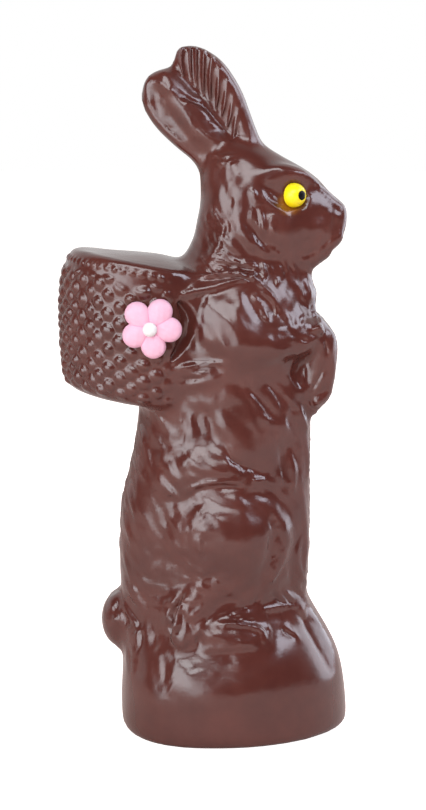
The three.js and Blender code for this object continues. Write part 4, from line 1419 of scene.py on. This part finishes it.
def group_of(name, inputs, output, kind):
    """An empty group of shader nodes, with number inputs and their defaults, and one output."""
    tree = bpy.data.node_groups.new(name, "ShaderNodeTree")
    for label, default in inputs.items():
        socket = tree.interface.new_socket(label, in_out="INPUT", socket_type="NodeSocketFloat")
        socket.default_value = default
    tree.interface.new_socket(output, in_out="OUTPUT", socket_type=kind)
    return tree, tree.nodes.new("NodeGroupInput"), tree.nodes.new("NodeGroupOutput")


def noise_over(tree, size, **settings):
    """Noise in object space whose clouds are as large as the output `size` says."""
    place = add_node(tree, "ShaderNodeTexCoord")
    scale = add_node(tree, "ShaderNodeMath", {0: 1.0}, operation="DIVIDE")
    noise = add_node(tree, "ShaderNodeTexNoise", settings)
    wire(tree, (size, scale.inputs[1]), (scale.outputs[0], noise.inputs["Scale"]),
         (place.outputs["Object"], noise.inputs["Vector"]))
    return noise.outputs["Fac"]


def cloudiness():
    """Clouds as a mask from 0 to 1 around 0.5, drawn apart by the contrast."""
    tree, given, result = group_of(
        "cloudiness", {"Size": 0.02, "Contrast": 2.0}, "Mask", "NodeSocketFloat"
    )
    noise = noise_over(tree, given.outputs["Size"], Detail=3.0, Roughness=0.55)
    centred = add_node(tree, "ShaderNodeMath", {1: 0.5}, operation="SUBTRACT")
    spread = add_node(
        tree, "ShaderNodeMath", {2: 0.5}, operation="MULTIPLY_ADD", use_clamp=True
    )
    wire(tree, (noise, centred.inputs[0]), (centred.outputs[0], spread.inputs[0]),
         (given.outputs["Contrast"], spread.inputs[1]), (spread.outputs[0], result.inputs["Mask"]))
    return tree


def uneven_skin():
    """A shading normal that wavers over a given size by a given height, in metres."""
    tree, given, result = group_of(
        "uneven_skin", {"Size": 0.002, "Height": 0.0001}, "Normal", "NodeSocketVector"
    )
    noise = noise_over(tree, given.outputs["Size"], Detail=2.0)
    bump = add_node(tree, "ShaderNodeBump")
    wire(tree, (noise, bump.inputs["Height"]), (given.outputs["Height"], bump.inputs["Distance"]),
         (bump.outputs["Normal"], result.inputs["Normal"]))
    return tree


CLOUDS, SKIN = cloudiness(), uneven_skin()
print("shared effects:", [group.name for group in (CLOUDS, SKIN)])


# %% A food material
def linear(color):
    """A colour given as 0 to 255 on a screen, as linear light."""
    c = np.asarray(color, float) / 255
    return tuple(np.where(c <= 0.04045, c / 12.92, ((c + 0.055) / 1.055) ** 2.4)) + (1.0,)


CLOUD_CONTRAST = 2.2


class Food:
    """A material with a mottled colour, a mottled gloss and an uneven skin."""

    def __init__(self, name, dark, light, gloss, cloud, skin_size, skin_height):
        self.material = bpy.data.materials.new(name)
        self.material.use_nodes = True
        self.tree = tree = self.material.node_tree
        self.shader = tree.nodes["Principled BSDF"]
        clouds = add_node(
            tree, "ShaderNodeGroup", {"Size": cloud, "Contrast": CLOUD_CONTRAST}, node_tree=CLOUDS
        )
        skin = add_node(
            tree, "ShaderNodeGroup", {"Size": skin_size, "Height": skin_height}, node_tree=SKIN
        )
        color = add_node(
            tree, "ShaderNodeMix", {"A": linear(dark), "B": linear(light)}, data_type="RGBA"
        )
        rough = add_node(tree, "ShaderNodeMapRange", {"To Min": gloss[0], "To Max": gloss[1]})
        self.color = color.outputs["Result"]
        wire(
            tree,
            (clouds.outputs["Mask"], color.inputs["Factor"]),
            (clouds.outputs["Mask"], rough.inputs["Value"]),
            (rough.outputs["Result"], self.shader.inputs["Roughness"]),
            (skin.outputs["Normal"], self.shader.inputs["Normal"]),
            (self.color, self.shader.inputs["Base Color"]),
        )

    def with_painted_light(self, attribute, color, strength):
        """Mixes a colour of painted light or shade in where the piece's own attribute is high."""
        tree = self.tree
        mask = add_node(tree, "ShaderNodeAttribute", attribute_name=attribute)
        amount = add_node(tree, "ShaderNodeMath", {1: strength}, operation="MULTIPLY")
        mix = add_node(tree, "ShaderNodeMix", {"B": linear(color)}, data_type="RGBA")
        wire(tree, (mask.outputs["Fac"], amount.inputs[0]),
             (amount.outputs[0], mix.inputs["Factor"]), (self.color, mix.inputs["A"]),
             (mix.outputs["Result"], self.shader.inputs["Base Color"]))
        self.color = mix.outputs["Result"]


# name, darker and lighter colour, roughness, size of the clouds, size and height of the skin
chocolate = Food("chocolate", (76, 37, 32), (90, 45, 38), (0.15, 0.25), 0.016, 0.004, 0.00008)
chocolate.shader.inputs["IOR"].default_value = 1.62
# under each eye the chocolate is painted amber: a painted reflection of the yellow candy eye
chocolate.with_painted_light("painted_eye_reflection", (140, 84, 16), 0.8)
yellow = Food("yellow_candy", (250, 224, 14), (254, 232, 20), (0.3, 0.36), 0.004, 0.001, 0.00001)
black = Food("black_candy", (2, 2, 3), (4, 4, 5), (0.3, 0.4), 0.003, 0.001, 0.00001)
black.shader.inputs["IOR"].default_value = 1.3
pink = Food("pink_icing", (232, 174, 196), (238, 186, 206), (0.5, 0.65), 0.003, 0.0007, 0.00006)
# the pink is painted darker in the creases between the drops and round the pearl: painted shade
pink.with_painted_light("crease", (226, 146, 178), 0.7)
white = Food("white_icing", (228, 226, 226), (240, 238, 236), (0.45, 0.6), 0.002, 0.0006, 0.00005)
print("materials:", [food.material.name for food in (chocolate, yellow, black, pink, white)])


# %% [markdown]
# The casting is one piece. It takes the place of the imported model's casting, rides on the root
# and carries a mask of its own: a painted reflection of the yellow candy eye under each eye.

# %% The casting
def finished(thing, replaced, slot, food):
    """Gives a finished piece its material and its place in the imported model."""
    thing.data.materials.append(food.material)
    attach(thing, "root")
    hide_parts(replaced)
    triangles = sum(len(face.vertices) - 2 for face in thing.data.polygons)
    print(f"{thing.name}: {triangles} triangles for {replaced}")


def carry(thing, name, values):
    """Stores one number for each point of the thing under a name that a material can read."""
    attribute = thing.data.attributes.new(name, "FLOAT", "POINT")
    attribute.data.foreach_set("value", np.asarray(values, np.float32))


# the middle of the painted reflection of the yellow eye, in X and Z
PAINTED_REFLECTION_X, PAINTED_REFLECTION_Z = 36.6, 232.6


def painted_eye_reflection_mask(points):
    """The painted reflection of the yellow eye: 1 close under the rear of each eye, fading over 3
    mm.
    """
    x, z = points[:, 0] - PAINTED_REFLECTION_X, points[:, 2] - PAINTED_REFLECTION_Z
    under = smooth_step(np.hypot(x, z), 6.2, 3.4) * smooth_step(-z + 0.6 * -x, -3.5, 0.5)
    return under * (np.abs(points[:, 1]) > 8)


bunny = new_object("chocolate_casting", fine.points, fine.faces)
# the mask of the amber painted reflection of the yellow eye
carry(bunny, "painted_eye_reflection", painted_eye_reflection_mask(fine.points))
finished(bunny, "bunny", "chocolate", chocolate)


# %% [markdown]
# A candy eye is a drop of yellow icing that set on a flat sheet, so it is a dome with a flat back,
# a little flattened on top, with a black dot let into it. Both are turned shapes: a profile spun
# round the axis that the eye looks along, which points out and forward.

# %% Candy eyes
def spun(profile, around=72):
    """Rings of a turned shape from rows of radius and height, standing along +Z."""
    radius, height = np.asarray(profile, float).T
    angle = np.linspace(0, 2 * np.pi, around, endpoint=False)[None, :]
    r, h = radius[:, None], height[:, None]
    return np.stack([r * np.cos(angle), r * np.sin(angle), h + 0 * angle], axis=-1)


def on_eye(rings, side):
    """Rings along +Z, laid on the eye's own axis beside the head."""
    centre, axis = eye_axis(side)
    up = np.array([0.0, 0.0, 1.0])
    aside = np.cross(up, axis)
    x, y, h = np.moveaxis(rings, -1, 0)[..., None]
    return centre + x * aside + y * up + h * axis


PUPIL_RADIUS, PUPIL_DEPTH, PUPIL_PROUD = 2.0, 0.9, 0.12
PLAY = 0.06  # between the pupil and its recess
RECESS = PUPIL_RADIUS + PLAY


def eye_profile():
    """Flat back, a small round at its edge, the sphere up to the recess, and the recess."""
    rim = math.sqrt(EYE_RADIUS**2 - EYE_BURIED**2)
    back = [(r, -EYE_BURIED) for r in np.linspace(0.2, rim - 0.25, 8)]
    top = math.acos(RECESS / EYE_RADIUS)
    low = -math.asin((EYE_BURIED - 0.3) / EYE_RADIUS)
    angle = np.linspace(low, top, 26)
    dome = np.stack([EYE_RADIUS * np.cos(angle), EYE_RADIUS * np.sin(angle)], axis=-1)
    floor = EYE_RADIUS + PUPIL_PROUD - PUPIL_DEPTH - PLAY
    recess = [(RECESS, floor + 0.02), (RECESS * 0.97, floor), (1.2, floor), (0.2, floor)]
    return [*back, (rim - 0.06, -EYE_BURIED + 0.06), *dome, *recess]


def pupil_profile():
    """A black drop: straight sides below, and a low round crown that stands a little proud."""
    crown = EYE_RADIUS + PUPIL_PROUD
    floor = crown - PUPIL_DEPTH
    shoulder = math.sqrt(EYE_RADIUS**2 - PUPIL_RADIUS**2)
    rise = crown - shoulder
    angle = np.linspace(0, np.pi / 2, 12)[:-1]
    top = [(PUPIL_RADIUS * math.cos(a), shoulder + rise * math.sin(a)) for a in angle]
    return [(0.2, floor), (1.2, floor), (PUPIL_RADIUS, floor + 0.02), *top, (0.12, crown)]


for side, label in ((-1, "right"), (1, "left")):
    for part, rings, slot, food in (
        ("eye", spun(eye_profile()), "yellow_icing", yellow),
        ("pupil", spun(pupil_profile(), 48), "black_icing", black),
    ):
        shape_points, shape_faces = skin(on_eye(rings, side))
        piece = new_object(f"{label}_candy_{part}", shape_points, [shape_faces])
        finished(piece, f"{label}_{part}", slot, food)


# %% [markdown]
# The flower is piped: five round drops of stiff pink icing are pressed together on a flat sheet,
# and run into each other in the middle. Its front is a height over that sheet, given on rays from
# the middle to the outline. The white ball in the middle is a sugar pearl.

# %% Icing flower
FLOWER_MIDDLE, FLOWER_BACK = np.array([-22.7, 180.3]), 33.8
PETAL_RADIUS, PETAL_HEIGHT, PETAL_REACH = 5.3, 3.6, 7.9
PETALS = [(131, 0.4), (60, 0.6), (-2, 0.3), (-79, -0.5), (-157, -0.9)]  # degrees, further out
PETAL_DRAWN = 1.75  # how much longer a petal is towards the middle than outwards
HEART_RADIUS, PEARL_RADIUS = 5.4, 3.05


def flower_outline(angle):
    """How far the outline is from the middle along a ray: the furthest petal that it crosses.

    A ray at angle a meets a round petal at c cos(a - b) + sqrt(r^2 - c^2 sin^2(a - b)).
    """
    reach = np.full_like(angle, HEART_RADIUS)
    for degrees, out in PETALS:
        off, c = angle - math.radians(degrees), PETAL_REACH + out
        inside = PETAL_RADIUS**2 - (c * np.sin(off)) ** 2
        far = c * np.cos(off) + np.sqrt(np.maximum(inside, 0))
        reach = np.where((inside > 0) & (np.cos(off) > 0), np.maximum(reach, far), reach)
    return reach


def flower_height(u, w):
    """Height over the flat back at a place, and how deep in a crease the place is (0 to 1).

    Each drop is half an egg, h = H (1 - d^2)^0.42, drawn out towards the middle of the flower,
    and the highest one counts. A crease is where the two highest are alike.
    """
    heights = []
    for degrees, out in PETALS:
        a = math.radians(degrees)
        along = u * math.cos(a) + w * math.sin(a) - (PETAL_REACH + out)
        across = w * math.cos(a) - u * math.sin(a)
        long = np.where(along < 0, PETAL_DRAWN * PETAL_RADIUS, PETAL_RADIUS)
        d2 = (along / long) ** 2 + (across / PETAL_RADIUS) ** 2
        heights.append(PETAL_HEIGHT * np.maximum(1 - d2, 0) ** 0.42)
    heights = np.sort(np.stack(heights), axis=0)
    first, second = heights[-1], heights[-2]
    crease = smooth_step(first - second, 0.5, 0.0) * smooth_step(second, 0.1, 0.8)
    return first, crease


def flower():
    """Rings on the flat back from the middle out, then rings over the front back to the middle."""
    angle = np.linspace(0, 2 * np.pi, 300, endpoint=False)
    back = np.linspace(0.03, 0.985, 12)
    front = np.sin(np.linspace(np.pi / 2, 0.03, 64))
    outline = flower_outline(angle)
    share = np.concatenate([back, front])[:, None]
    u, w = share * outline * np.cos(angle), share * outline * np.sin(angle)
    height, crease = flower_height(u, w)
    lift = np.concatenate([np.zeros(len(back)), np.ones(len(front))])[:, None]
    height = np.where(lift > 0, np.maximum(height, 0.12), 0.0)
    ripple = 0.05 * np.sin(2.1 * u + 1.3 * w) * np.sin(1.7 * w - 0.6 * u)
    y = -FLOWER_BACK - height - lift * ripple * (height > 0.5)
    rings = np.stack([FLOWER_MIDDLE[0] + u, y, FLOWER_MIDDLE[1] + w], axis=-1)
    # painted shade: darker in the creases and in a ring round the pearl in the middle
    near = 0.8 * np.exp(-((np.hypot(u, w) / 3.6) ** 2))
    mask = np.clip(crease * lift + near * lift, 0, 1)
    return skin(rings), np.concatenate([mask.ravel(), [0.0, 1.0]])


(petal_points, petal_faces), painted_crease_shade = flower()
blossom = new_object("piped_flower", petal_points, [petal_faces])
# the mask of the painted shade in the creases and round the pearl
carry(blossom, "crease", painted_crease_shade)
finished(blossom, "icing_flower", "pink_icing", pink)

pearl_centre = (FLOWER_MIDDLE[0], -FLOWER_BACK - 0.95 * PETAL_HEIGHT, FLOWER_MIDDLE[1])
pearl_points, pearl_faces = ball(pearl_centre, [PEARL_RADIUS] * 3, around=64, rows=40)
pearl = new_object("sugar_pearl", pearl_points, [pearl_faces])
finished(pearl, "flower_centre", "white_icing", white)


# %% [markdown]
# The product photograph was taken in a white cove with softboxes. What makes chocolate look like
# chocolate is what it mirrors: a large soft light at the left, a higher one near the camera, a
# cooler pair at the right, the pale floor below, the white cove behind, and the dark room around
# the camera. The floor is plain and pale, and the world gives the cove and the room.

# %% Floor
CARD_COLOR, CARD_GLOW = (0.8, 0.66, 0.6, 1), 0.95


def floor(half_size=20.0):
    """A level square that shows white to the camera and lights the rabbit like white card."""
    corners = [(-1, -1, 0), (1, -1, 0), (1, 1, 0), (-1, 1, 0)]
    thing = new_object("floor", np.array(corners) * half_size / MM, [np.array([[0, 1, 2, 3]])])
    material = bpy.data.materials.new("white_card")
    material.use_nodes = True
    tree = material.node_tree
    shader = tree.nodes["Principled BSDF"]
    for label, value in (("Base Color", CARD_COLOR), ("Roughness", 0.9),
                         ("Specular IOR Level", 0.1), ("Emission Color", (1, 1, 1, 1))):
        shader.inputs[label].default_value = value
    path = add_node(tree, "ShaderNodeLightPath")
    glow = add_node(tree, "ShaderNodeMath", {1: CARD_GLOW}, operation="MULTIPLY")
    wire(tree, (path.outputs["Is Camera Ray"], glow.inputs[0]),
         (glow.outputs[0], shader.inputs["Emission Strength"]))
    thing.data.materials.append(material)


floor()


# %% Softboxes
TARGET = Vector((0.005, 0.0, 0.16))


def softbox(name, azimuth, height, distance, size, radiance, color):
    """A rectangular soft light that faces the rabbit.

    azimuth is in degrees from the camera's side, positive to the right; height is in degrees
    over the horizon. A light of radiance L and area A sends out pi * L * A watts.
    """
    a, h = math.radians(azimuth), math.radians(height)
    way = Vector((math.sin(a) * math.cos(h), -math.cos(a) * math.cos(h), math.sin(h)))
    data = bpy.data.lights.new(name, "AREA")
    data.shape = "RECTANGLE"
    data.size, data.size_y = size
    data.energy = math.pi * radiance * size[0] * size[1]
    data.color = color
    lamp = bpy.data.objects.new(name, data)
    lamp.location = TARGET + way * distance
    lamp.rotation_euler = (-way).to_track_quat("-Z", "Y").to_euler()
    lamp.visible_camera = False
    bpy.context.scene.collection.objects.link(lamp)
    print(f"{name}: {data.energy:.1f} W")


# name, azimuth, height, distance and size in metres, radiance, colour
softbox("left_low", -35, 10, 1.5, (1.7, 0.84), 3.2, (0.92, 0.96, 1.0))
softbox("left_core", -37, 12, 1.45, (1.05, 0.5), 1.9, (0.92, 0.96, 1.0))
softbox("front_high", -8, 41, 1.4, (1.12, 0.54), 5.8, (0.93, 0.97, 1.0))
softbox("right_high", 72, 36, 1.5, (0.8, 0.55), 6.4, (0.8, 0.86, 1.0))
softbox("right_behind", 122, 16, 1.6, (1.4, 1.3), 2.6, (0.8, 0.86, 1.0))


# %% Cove and room
ROOM, COVE = 0.03, 0.85  # how bright the mirrored room and cove are


def studio_world():
    """White to the camera. Mirrored, it is white behind the rabbit and dark round the camera."""
    world = bpy.data.worlds.new("studio")
    bpy.context.scene.world = world
    world.use_nodes = True
    tree = world.node_tree
    background = tree.nodes["Background"]
    background.inputs["Color"].default_value = (1, 1, 1, 1)
    place = add_node(tree, "ShaderNodeTexCoord")
    parts = add_node(tree, "ShaderNodeSeparateXYZ")
    edges = {"From Min": -0.1, "From Max": 0.4, "To Min": ROOM, "To Max": COVE}
    cove = add_node(tree, "ShaderNodeMapRange", edges, interpolation_type="SMOOTHSTEP")
    path = add_node(tree, "ShaderNodeLightPath")
    seen = add_node(tree, "ShaderNodeMix", {"B": 1.0})
    wire(
        tree,
        (place.outputs["Generated"], parts.inputs["Vector"]),
        (parts.outputs["Y"], cove.inputs["Value"]),
        (cove.outputs["Result"], seen.inputs["A"]),
        (path.outputs["Is Camera Ray"], seen.inputs["Factor"]),
        (seen.outputs["Result"], background.inputs["Strength"]),
    )


studio_world()
bpy.context.scene.view_settings.view_transform = "Standard"
